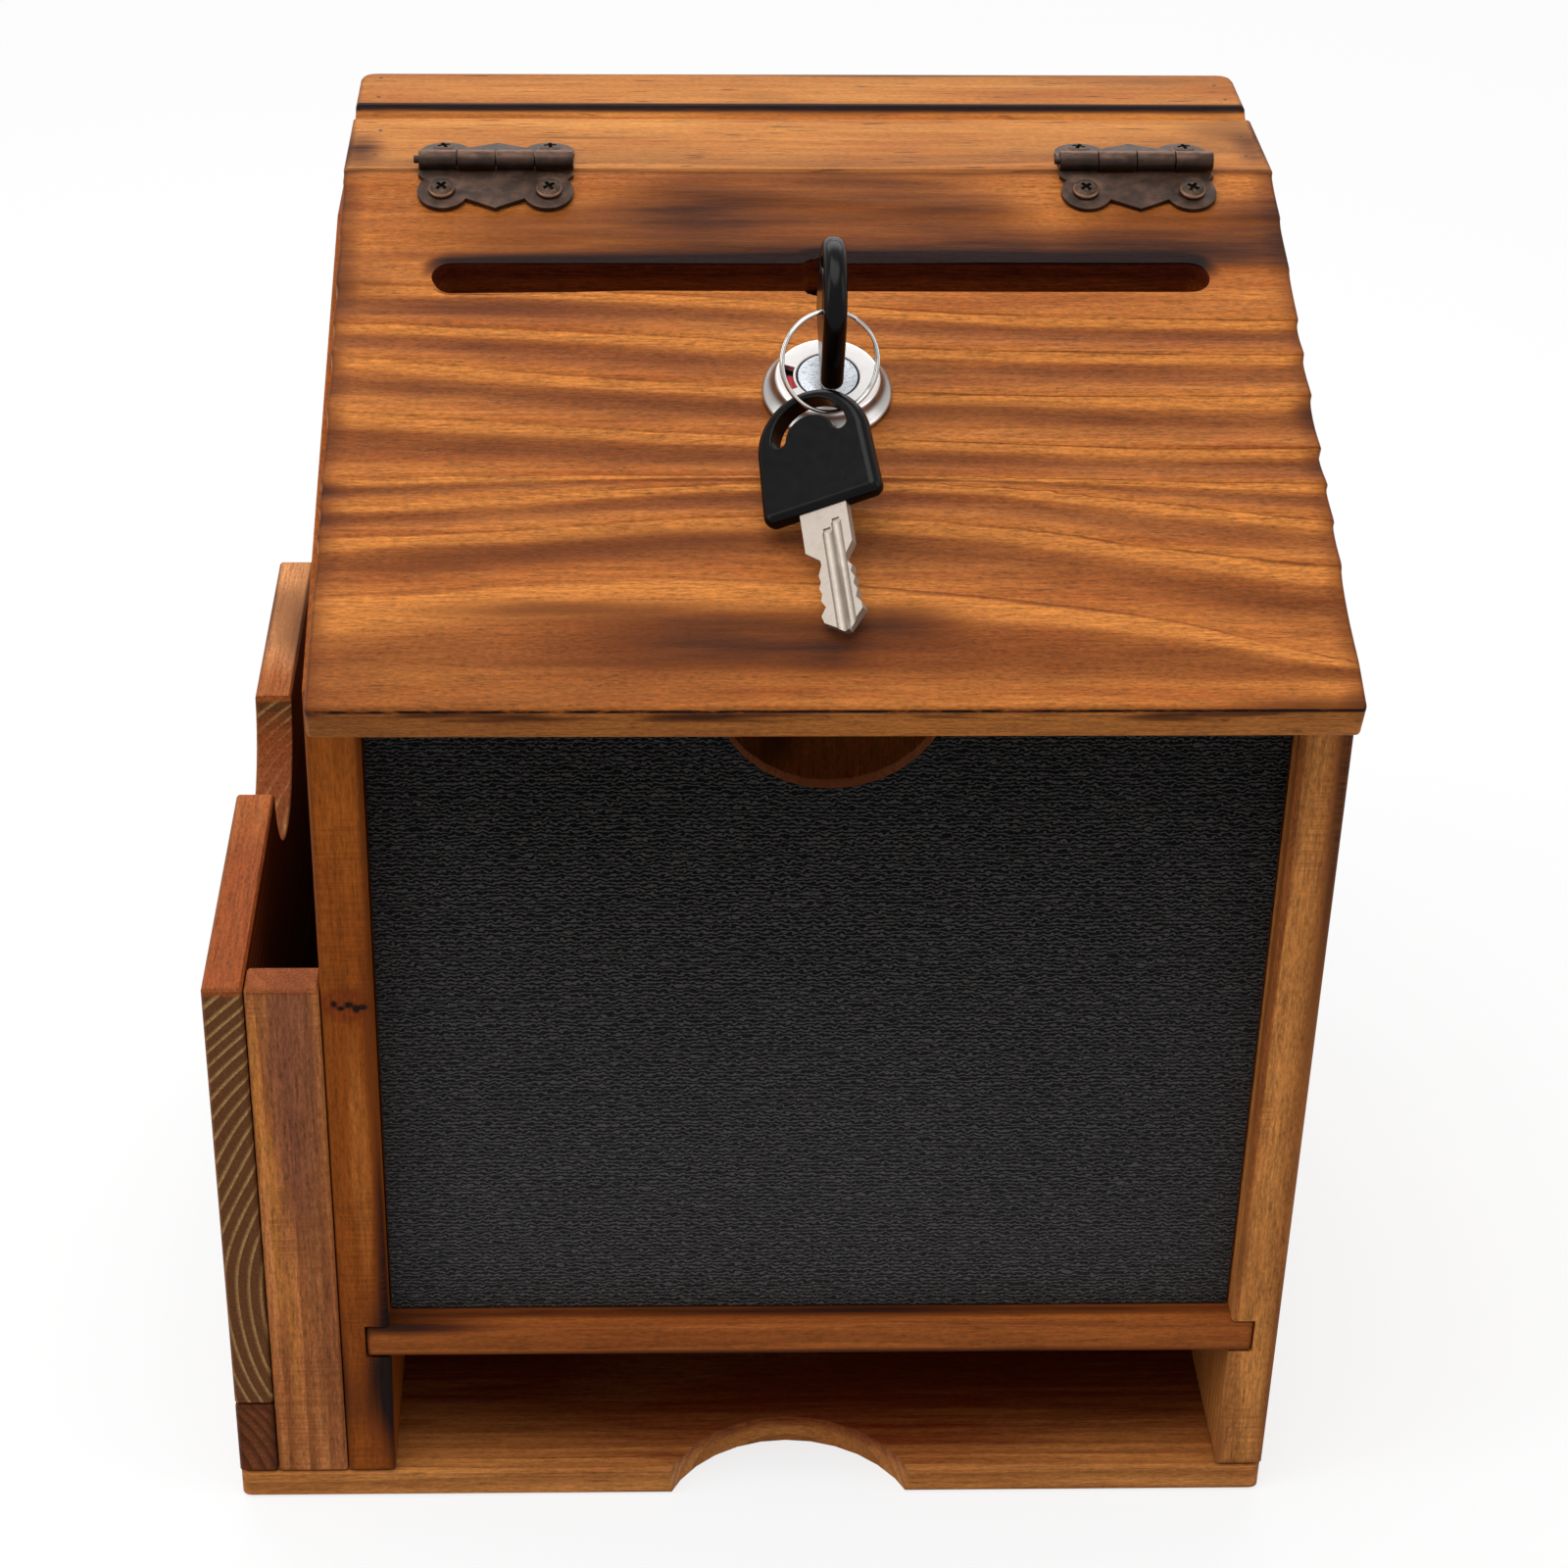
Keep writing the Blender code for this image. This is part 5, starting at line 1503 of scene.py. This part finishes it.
@dataclass
class Brads:
    """The small nails that hold the top board, their heads driven just under its face."""

    places: tuple[Pair, ...] = (
        (-86.3, 81.0), (-86.1, 69.7), (-84.6, 50.6), (-84.9, 37.4),
        (86.1, 77.6), (87.1, 69.2), (87.0, 48.3), (86.4, 37.5),
    )
    radius: float = 0.42
    face: float = 238.8

    def build(self) -> None:
        """Turn one nail, and set a copy of it at each place."""
        profile = [(0.0, -3.0), (0.3, -2.6), (0.3, -0.4), (self.radius, -0.2),
                   (self.radius, 0.02), (self.radius * 0.7, 0.05), (0.0, 0.0)]
        first = turned("brad", profile, 20, False)
        smooth(first, 40.0)
        dark = DarkScrew("dark_nail").dress()
        for number, (x, y) in enumerate(self.places, 1):
            brad = added(f"brad_{number}", first.data.copy())
            brad.data.transform(Matrix.Translation(Vector((x, y, self.face)) * MM))
            hand_in(brad, dark, "box", "aged_bronze")
        bpy.data.objects.remove(first, do_unlink=True)


@dataclass
class Hinges:
    """The two butterfly hinges with their pins and screws."""

    middles: Pair = (-60.85, 63.4)
    screw_side: float = 10.35
    screw_reach: float = 7.5
    screw_rise: float = -1.1
    plate_rounding: float = 0.12
    pin_rounding: float = 0.15
    crosses: tuple[float, ...] = (22.0, 5.0, 48.0, 33.0, 70.0, 12.0, 40.0, 58.0)

    def build(self) -> None:
        """Soften the leaves' and pins' edges, set the screws and dress them."""
        bronze = AgedBronze().dress()
        dark = DarkScrew().dress()
        turns = iter(self.crosses)
        for side, middle in zip(("left", "right"), self.middles):
            fixed = Matrix.Translation(PIN_LINE + Vector((middle * MM, 0, 0)))
            swung = fixed @ Matrix.Rotation(LID_SLOPE, 4, "X")
            for part, body, place, way in (("top", "box", fixed, 1), ("lid", "lid", swung, -1)):
                node = f"{side}_hinge_leaf_{part}"
                leaf = softened(node, f"{side}_leaf_{part}", self.plate_rounding, 40.0)
                hand_in(leaf, bronze, body, "aged_bronze", node)
                for hand, along in (("a", -self.screw_side), ("b", self.screw_side)):
                    screw = WoodScrew().build(f"{side}_screw_{part}_{hand}", next(turns))
                    smooth(screw, 35.0)
                    spot = Vector((along, way * self.screw_reach, self.screw_rise)) * MM
                    screw.data.transform(place @ Matrix.Translation(spot))
                    node = f"{side}_hinge_screw_{part}_{hand}"
                    hand_in(screw, dark, body, "aged_bronze", node)
            node = f"{side}_hinge_pin"
            pin = softened(node, f"{side}_pin", self.pin_rounding, 60.0)
            hand_in(pin, bronze, "box", "aged_bronze", node)


@dataclass
class CamLock:
    """The lock in the lid: flared body, plug, indicator, nut, cam and cam screw."""

    # The body's profile: the radius and height of each corner, from the plug's rim outwards.
    profile: tuple[Pair, ...] = (
        (5.8, -0.15), (5.95, 0.0), (9.0, 0.0), (9.3, -0.03), (9.55, -0.15), (9.72, -0.4),
        (9.82, -0.8), (9.95, -1.3), (10.15, -1.8), (10.45, -2.25), (10.85, -2.65),
        (11.3, -2.95), (11.65, -3.2), (11.85, -3.5), (11.93, -3.8), (11.93, -4.04),
        (8.0, -4.04), (8.0, -21.8), (5.8, -21.8), (5.8, -2.5), (9.0, -2.5), (9.0, -1.2),
        (5.8, -1.2),
    )
    # How dark the flange is painted at each height: painted reflection of the wood about it and
    # painted shade.
    shade_heights: tuple[float, ...] = (-4.1, -3.4, -2.5, -1.5, -0.7, -0.2)
    shades: tuple[float, ...] = (0.7, 0.35, 0.6, 1.0, 0.8, 0.1)
    window: Pair = (6.3, 8.3)
    window_angles: Pair = (160.0, 208.0)
    flat_from: float = 7.2
    flange_foot: float = -4.04
    rounding: float = 0.12
    indicator_rounding: float = 0.08
    indicator_turn: float = -4.0
    steps: int = 96

    def build(self) -> None:
        """Model the body anew, and soften and dress the rest."""
        chrome = PlatedMetal("satin_chrome", srgb("CCC8C6"), srgb("A09D9A"), 0.28, 0.1, 0.2,
                             srgb("77736F"))
        hand_in(self._shell(), chrome.dress(), "lid", "satin_chrome", "lock_body")
        zinc = PlatedMetal("speckled_zinc", srgb("AEB2B8"), srgb("5C6168"), 0.3, 1.2, 0.1).dress()
        steel = PlatedMetal("nickel_steel", srgb("C2BDB6"), srgb("8F8A84"), 0.28, 0.2, 0.5).dress()
        for node, material, body in (("lock_plug", zinc, "lock_core"),
                                     ("lock_cam", steel, "lock_core"),
                                     ("cam_screw", steel, "lock_core"),
                                     ("lock_nut", steel, "lid")):
            piece = softened(node, f"{node}_turned", self.rounding, 50.0)
            hand_in(piece, material, body, "nickel_steel", node)
        lamp = softened("lock_indicator", "red_sector", self.indicator_rounding, 50.0)
        turn = Matrix.Rotation(math.radians(self.indicator_turn), 4, "Z")
        lamp.data.transform(lock_place() @ turn @ lock_place().inverted())
        red = PlainPaint("red_enamel", srgb("B8202C")).dress()
        hand_in(lamp, red, "lock_core", "red_enamel", "lock_indicator")

    def _shell(self) -> Piece:
        """Turn the flared body, and cut the indicator's window and the barrel's flats.

        Returns:
            The body, on the plane of its face.
        """
        body = turned("lock_shell", self.profile, self.steps)
        carve(body, self._window())
        places = vertices_of(body)
        out, height = np.hypot(*places[:, :2].T), places[:, 2]
        put_number(body, "shade",
                   (out > 9.6) * np.interp(height, self.shade_heights, self.shades))
        for side in (-1, 1):
            low, high = sorted((side * self.flat_from, side * 10.0))
            flat = block("flat", (low, -10.0, -23.0), (high, 10.0, self.flange_foot))
            carve(body, flat)
        body.data.transform(lock_place())
        smooth(body, 32.0)
        return body

    def _window(self) -> Piece:
        """Make the sector that is cut out of the face, as a part of a turned ring.

        Returns:
            The sector.
        """
        inner, outer = self.window
        ring = [(inner, -2.0), (outer, -2.0), (outer, 1.0), (inner, 1.0)]
        window = turned("window", ring, 90)
        with edit(window):
            pick(window, "FACE", lambda f: not self._in_window(f.calc_center_median()))
            bpy.ops.mesh.delete(type="FACE")
            bpy.ops.mesh.select_all(action="SELECT")
            bpy.ops.mesh.select_mode(type="EDGE")
            bpy.ops.mesh.select_non_manifold()
            bpy.ops.mesh.edge_face_add()
            face_out()
        return window

    def _in_window(self, point: Vector) -> bool:
        """Say whether a point of the ring lies in the window's sector."""
        first, last = self.window_angles
        return first <= math.degrees(math.atan2(point.y, point.x)) % 360 <= last


@dataclass
class SplitRing:
    """The split ring: one wire bent through two turns, with a short ramp between them."""

    radius: float = 8.85
    wire_radius: float = 0.36
    pitch: float = 0.78
    split: float = math.radians(53.0)
    ramp: float = math.radians(30.0)
    steps: int = 96
    middle: Vec3 = (-0.771, -11.991, 15.445)
    heading: float = math.radians(7.72)
    lean: float = math.radians(49.36)
    roll: float = math.radians(8.18)

    def build(self) -> Piece:
        """Bend the wire and set the ring in its place on the lock.

        Returns:
            The ring.
        """
        sweep = 2 * math.tau - self.ramp - 2 * self.pitch / self.radius
        count = round(sweep / math.tau * self.steps)
        data = bpy.data.curves.new("split_ring", "CURVE")
        data.dimensions = "3D"
        data.bevel_depth = self.wire_radius * MM
        data.bevel_resolution = 3
        data.use_fill_caps = True
        wire = data.splines.new("POLY")
        wire.points.add(count)
        for step, point in enumerate(wire.points):
            along = sweep * step / count
            share = min(1.0, max(0.0, (along - (math.tau - self.ramp)) / self.ramp))
            lift = self.pitch * (0.5 - share * share * (3 - 2 * share))
            angle = self.split + along
            spot = (self.radius * math.cos(angle), self.radius * math.sin(angle), lift)
            point.co = (*(MM * c for c in spot), 1.0)
        take(added("split_ring", data))
        bpy.ops.object.convert(target="MESH")
        ring = bpy.context.object
        turn = Matrix.Rotation(self.heading, 4, "Z") @ Matrix.Rotation(self.lean, 4, "X")
        turn = turn @ Matrix.Rotation(self.roll, 4, "Y")
        smooth(ring, 50.0)
        ring.data.transform(lock_place() @ Matrix.Translation(Vector(self.middle) * MM) @ turn)
        wire = PlatedMetal("ring_wire", srgb("B4B0AC"), srgb("85817C"), 0.14, 0.0, 0.0).dress()
        return hand_in(ring, wire, "ring", "nickel_steel", "key_ring")


@dataclass
class KeySet:
    """Two keys with moulded heads, which hang from one split ring."""

    head_half_width: float = 11.2
    head_thickness: float = 4.2
    head_corner: float = 1.9
    arch_radius: float = 10.58
    arch_height: float = 13.2
    head_rounding: float = 1.75
    rim_rounding: float = 0.35
    # The arched hole: its outer and inner arcs' radius and height, and its ends' height.
    hole_outer: Pair = (7.25, 14.4)
    hole_inner: Pair = (4.75, 13.7)
    hole_ends: float = 15.3
    pocket: Vec3 = (4.55, 5.65, 1.15)
    blade_rounding: float = 0.07
    half_thickness: float = 1.0
    # Each groove's middle across the blade and its start, and the cutter's size and height.
    grooves: tuple[Pair, ...] = ((0.176, -3.4), (2.024, -1.9))
    groove_radius: float = 1.0
    groove_rise: float = 0.314
    run_out: float = 1.3
    groove_reach: float = 24.0

    def places(self) -> dict[str, Matrix]:
        """Return each key's frame: x across it, y from its tip to its head, z off its face.

        Returns:
            The frames by the names of the keys.
        """
        upright = Matrix(((0, 0, -1), (-1, 0, 0), (0, 1, 0))).to_4x4()
        first = lock_place() @ Matrix.Translation((0, 0, 6.5 * MM)) @ upright
        columns = Matrix(((0.8913, -0.1125, -0.4392), (-0.0093, 0.964, -0.2657),
                          (0.4533, 0.2409, 0.8582)))
        foot = Vector((-2.125, -37.325, 4.039)) * MM
        return {"key_1": first,
                "key_2": lock_place() @ Matrix.Translation(foot) @ columns.to_4x4()}

    def _head_outline(self) -> list[Pair]:
        """Return a head's outline from its lower right corner over its arch and back.

        Returns:
            Its points, x across the key and y along it.
        """
        corner, side = self.head_corner, self.head_half_width - self.head_corner
        right = arc((side, corner), corner, -math.pi / 2, math.pi / 2, 8)
        arch = arc((0, self.arch_height), self.arch_radius, 0, math.pi, 64)
        return right + arch + arc((-side, corner), corner, math.pi, math.pi / 2, 8)

    def _hole_outline(self) -> list[Pair]:
        """Return the arched hole's outline: two arcs joined by round ends.

        Returns:
            Its points, x across the key and y along it.
        """
        (outer, outer_height), (inner, inner_height) = self.hole_outer, self.hole_inner
        outer_rise = math.asin((self.hole_ends - outer_height) / outer)
        inner_rise = math.asin((self.hole_ends - inner_height) / inner)
        ends = (outer * math.cos(outer_rise), inner * math.cos(inner_rise))
        middle, radius = sum(ends) / 2, (ends[0] - ends[1]) / 2
        return (arc((0, outer_height), outer, outer_rise, math.pi - 2 * outer_rise, 56)[:-1]
                + arc((-middle, self.hole_ends), radius, math.pi, math.pi, 12)[:-1]
                + arc((0, inner_height), inner, math.pi - inner_rise,
                      2 * inner_rise - math.pi, 40)[:-1]
                + arc((middle, self.hole_ends), radius, math.pi, math.pi, 12)[:-1])

    def head(self, name: str, place: Matrix) -> Piece:
        """Mould a head with a round rim, an arched hole and a pocket for its blade.

        Args:
            name: The object's name.
            place: The key's frame.

        Returns:
            The head, in its place.
        """
        half = self.head_thickness / 2
        head = prism(name, self._head_outline(), -half, half)
        bevel(head, self.head_rounding, 6, 60.0)
        carve(head, prism("hole", self._hole_outline(), -half - 1, half + 1))
        bevel(head, self.rim_rounding, 3, 60.0)
        width, depth, thick = self.pocket
        carve(head, block("pocket", (-width, -2.0, -thick), (width, depth, thick)))
        smooth(head, 40.0, weighted=True)
        head.data.transform(place)
        return head

    def cut_grooves(self, blade: Piece, place: Matrix) -> None:
        """Mill the round-bottomed grooves with their sloping run-outs into a blade's face.

        Args:
            blade: The blade, in its place.
            place: Its frame.
        """
        radius, reach = self.groove_radius, self.groove_reach
        profile = [(0.0, 0.0), (radius, self.run_out), (radius, reach), (0.0, reach)]
        for middle, start in self.grooves:
            mill = turned("mill", profile, 48, False)
            spot = Vector((middle, start, self.half_thickness + self.groove_rise)) * MM
            mill.data.transform(place @ Matrix.Translation(spot)
                                @ Matrix.Rotation(math.pi / 2, 4, "X"))
            carve(blade, mill)

    def build(self) -> None:
        """Mould the heads, mill and soften the blades and dress them."""
        plastic = MouldedPlastic().dress()
        steel = PlatedMetal("key_steel", srgb("9B9187"), srgb("746B63"), 0.44, 0.2, 0.6).dress()
        for key, place in self.places().items():
            head = self.head(f"{key}_bow", place)
            hand_in(head, plastic, key, "black_plastic", f"{key}_head")
            blade = copy_of(f"{key}_blade", f"{key}_cut_blade")
            self.cut_grooves(blade, place)
            bevel(blade, self.blade_rounding, 2, 80.0)
            smooth(blade, 30.0, weighted=True)
            hand_in(blade, steel, key, "nickel_steel", f"{key}_blade")
        SplitRing().build()


@dataclass
class Studio:
    """The pale floor, the soft lamps, the white surroundings and the camera."""

    camera_at: Vec3 = (-0.03525, -0.59068, 0.47866)
    pitch_down: float = 31.49
    turned_right: float = 1.59
    rolled: float = 0.68
    lens: float = 77.348
    shift: Pair = (0.04737, 0.0007)
    floor_glow: float = 0.75
    floor_bounce: float = 0.5
    floor_fades_mm: Pair = (450.0, 1500.0)
    world_light: float = 0.3
    # Each lamp's name, its place, what it points at, its width and height, and its watts.
    lamps: tuple[tuple[str, Vec3, Vec3, Pair, float], ...] = (
        ("overhead", (-0.2, -0.3, 1.3), (0, 0, 0.12), (1.1, 0.9), 13.0),
        ("left", (-1.1, -0.4, 0.7), (0, 0, 0.12), (0.5, 0.9), 4.0),
        ("right", (1.1, -0.4, 0.7), (0, 0, 0.12), (0.5, 0.9), 3.0),
        ("behind", (0.0, 0.8, 0.9), (0, 0, 0.2), (1.2, 0.5), 5.0),
    )

    def camera(self) -> None:
        """Stand the camera where the photograph was taken from."""
        data = bpy.data.cameras.new("camera")
        data.lens = self.lens
        data.sensor_width = 36.0
        data.shift_x, data.shift_y = self.shift
        data.clip_start = 0.01
        down, turn = math.radians(self.pitch_down), math.radians(self.turned_right)
        ahead = Vector((math.sin(turn) * math.cos(down), math.cos(turn) * math.cos(down),
                        -math.sin(down)))
        right = ahead.cross(Vector((0, 0, 1))).normalized()
        up = right.cross(ahead)
        roll = math.radians(self.rolled)
        across = right * math.cos(roll) + up * math.sin(roll)
        above = up * math.cos(roll) - right * math.sin(roll)
        facing = Matrix((across, above, -ahead)).transposed()
        eye = added("camera", data)
        eye.matrix_world = Matrix.Translation(Vector(self.camera_at)) @ facing.to_4x4()
        bpy.context.scene.camera = eye

    @staticmethod
    def lamp(name: str, place: Vec3, target: Vec3, size: Pair, power: float) -> None:
        """Hang one soft lamp.

        Args:
            name: Its name.
            place: Where it hangs.
            target: What it points at.
            size: Its width and height.
            power: Its power in watts.
        """
        data = bpy.data.lights.new(name, "AREA")
        data.shape = "RECTANGLE"
        data.size, data.size_y = size
        data.energy = power
        lamp = added(name, data)
        lamp.location = place
        lamp.rotation_euler = (Vector(target) - Vector(place)).to_track_quat("-Z", "Y").to_euler()

    def floor(self) -> None:
        """Lay the floor, which shows white where it is seen and keeps the shadow."""
        clear()
        bpy.ops.mesh.primitive_plane_add(size=6.0, location=(0, 0, -0.0001))
        ground = bpy.context.object
        ground.name = "floor"
        graph = Graph.of_material("pale_floor")
        seen = graph.tree.nodes["Principled BSDF"]
        graph.put(seen.inputs["Base Color"], (0.86, 0.86, 0.86))
        graph.put(seen.inputs["Roughness"], 0.7)
        glow = graph.node("ShaderNodeEmission")
        x, y, _ = graph.here
        far = (x * x + y * y).root().ramp(*self.floor_fades_mm)
        lit = graph.node("ShaderNodeMixShader", None,
                         {0: far * (1.0 - self.floor_glow) + self.floor_glow,
                          1: seen.outputs[0], 2: glow.outputs[0]})
        unseen = graph.node("ShaderNodeBsdfDiffuse", None, {"Color": (self.floor_bounce,) * 3})
        blend = graph.node("ShaderNodeMixShader", None,
                           {0: graph.looked_at(), 1: unseen.outputs[0], 2: lit.outputs[0]})
        graph.put(graph.tree.nodes["Material Output"].inputs["Surface"], blend.outputs[0])
        ground.data.materials.append(graph.owner)

    def world(self) -> None:
        """Surround the box with even light, white where it is seen."""
        world = bpy.data.worlds.new("studio")
        bpy.context.scene.world = world
        graph = Graph(world)
        white = (1.0, 1.0, 1.0)
        light = graph.node("ShaderNodeBackground", None,
                           {"Color": white, "Strength": self.world_light})
        seen = graph.node("ShaderNodeBackground", None, {"Color": white, "Strength": 1.0})
        blend = graph.node("ShaderNodeMixShader", None,
                           {0: graph.looked_at(), 1: light.outputs[0], 2: seen.outputs[0]})
        graph.put(graph.tree.nodes["World Output"].inputs["Surface"], blend.outputs[0])

    def build(self) -> None:
        """Set up the studio."""
        bpy.context.scene.view_settings.view_transform = "Standard"
        self.camera()
        self.floor()
        self.world()
        for lamp in self.lamps:
            self.lamp(*lamp)


def main() -> None:
    """Build every piece, then the studio."""
    logging.basicConfig(level=logging.INFO, format="%(message)s")
    Carcass().dress()
    Lid().build()
    TopBoard().build()
    Brads().build()
    Hinges().build()
    CamLock().build()
    KeySet().build()
    Studio().build()


if __name__ == "__main__":
    main()
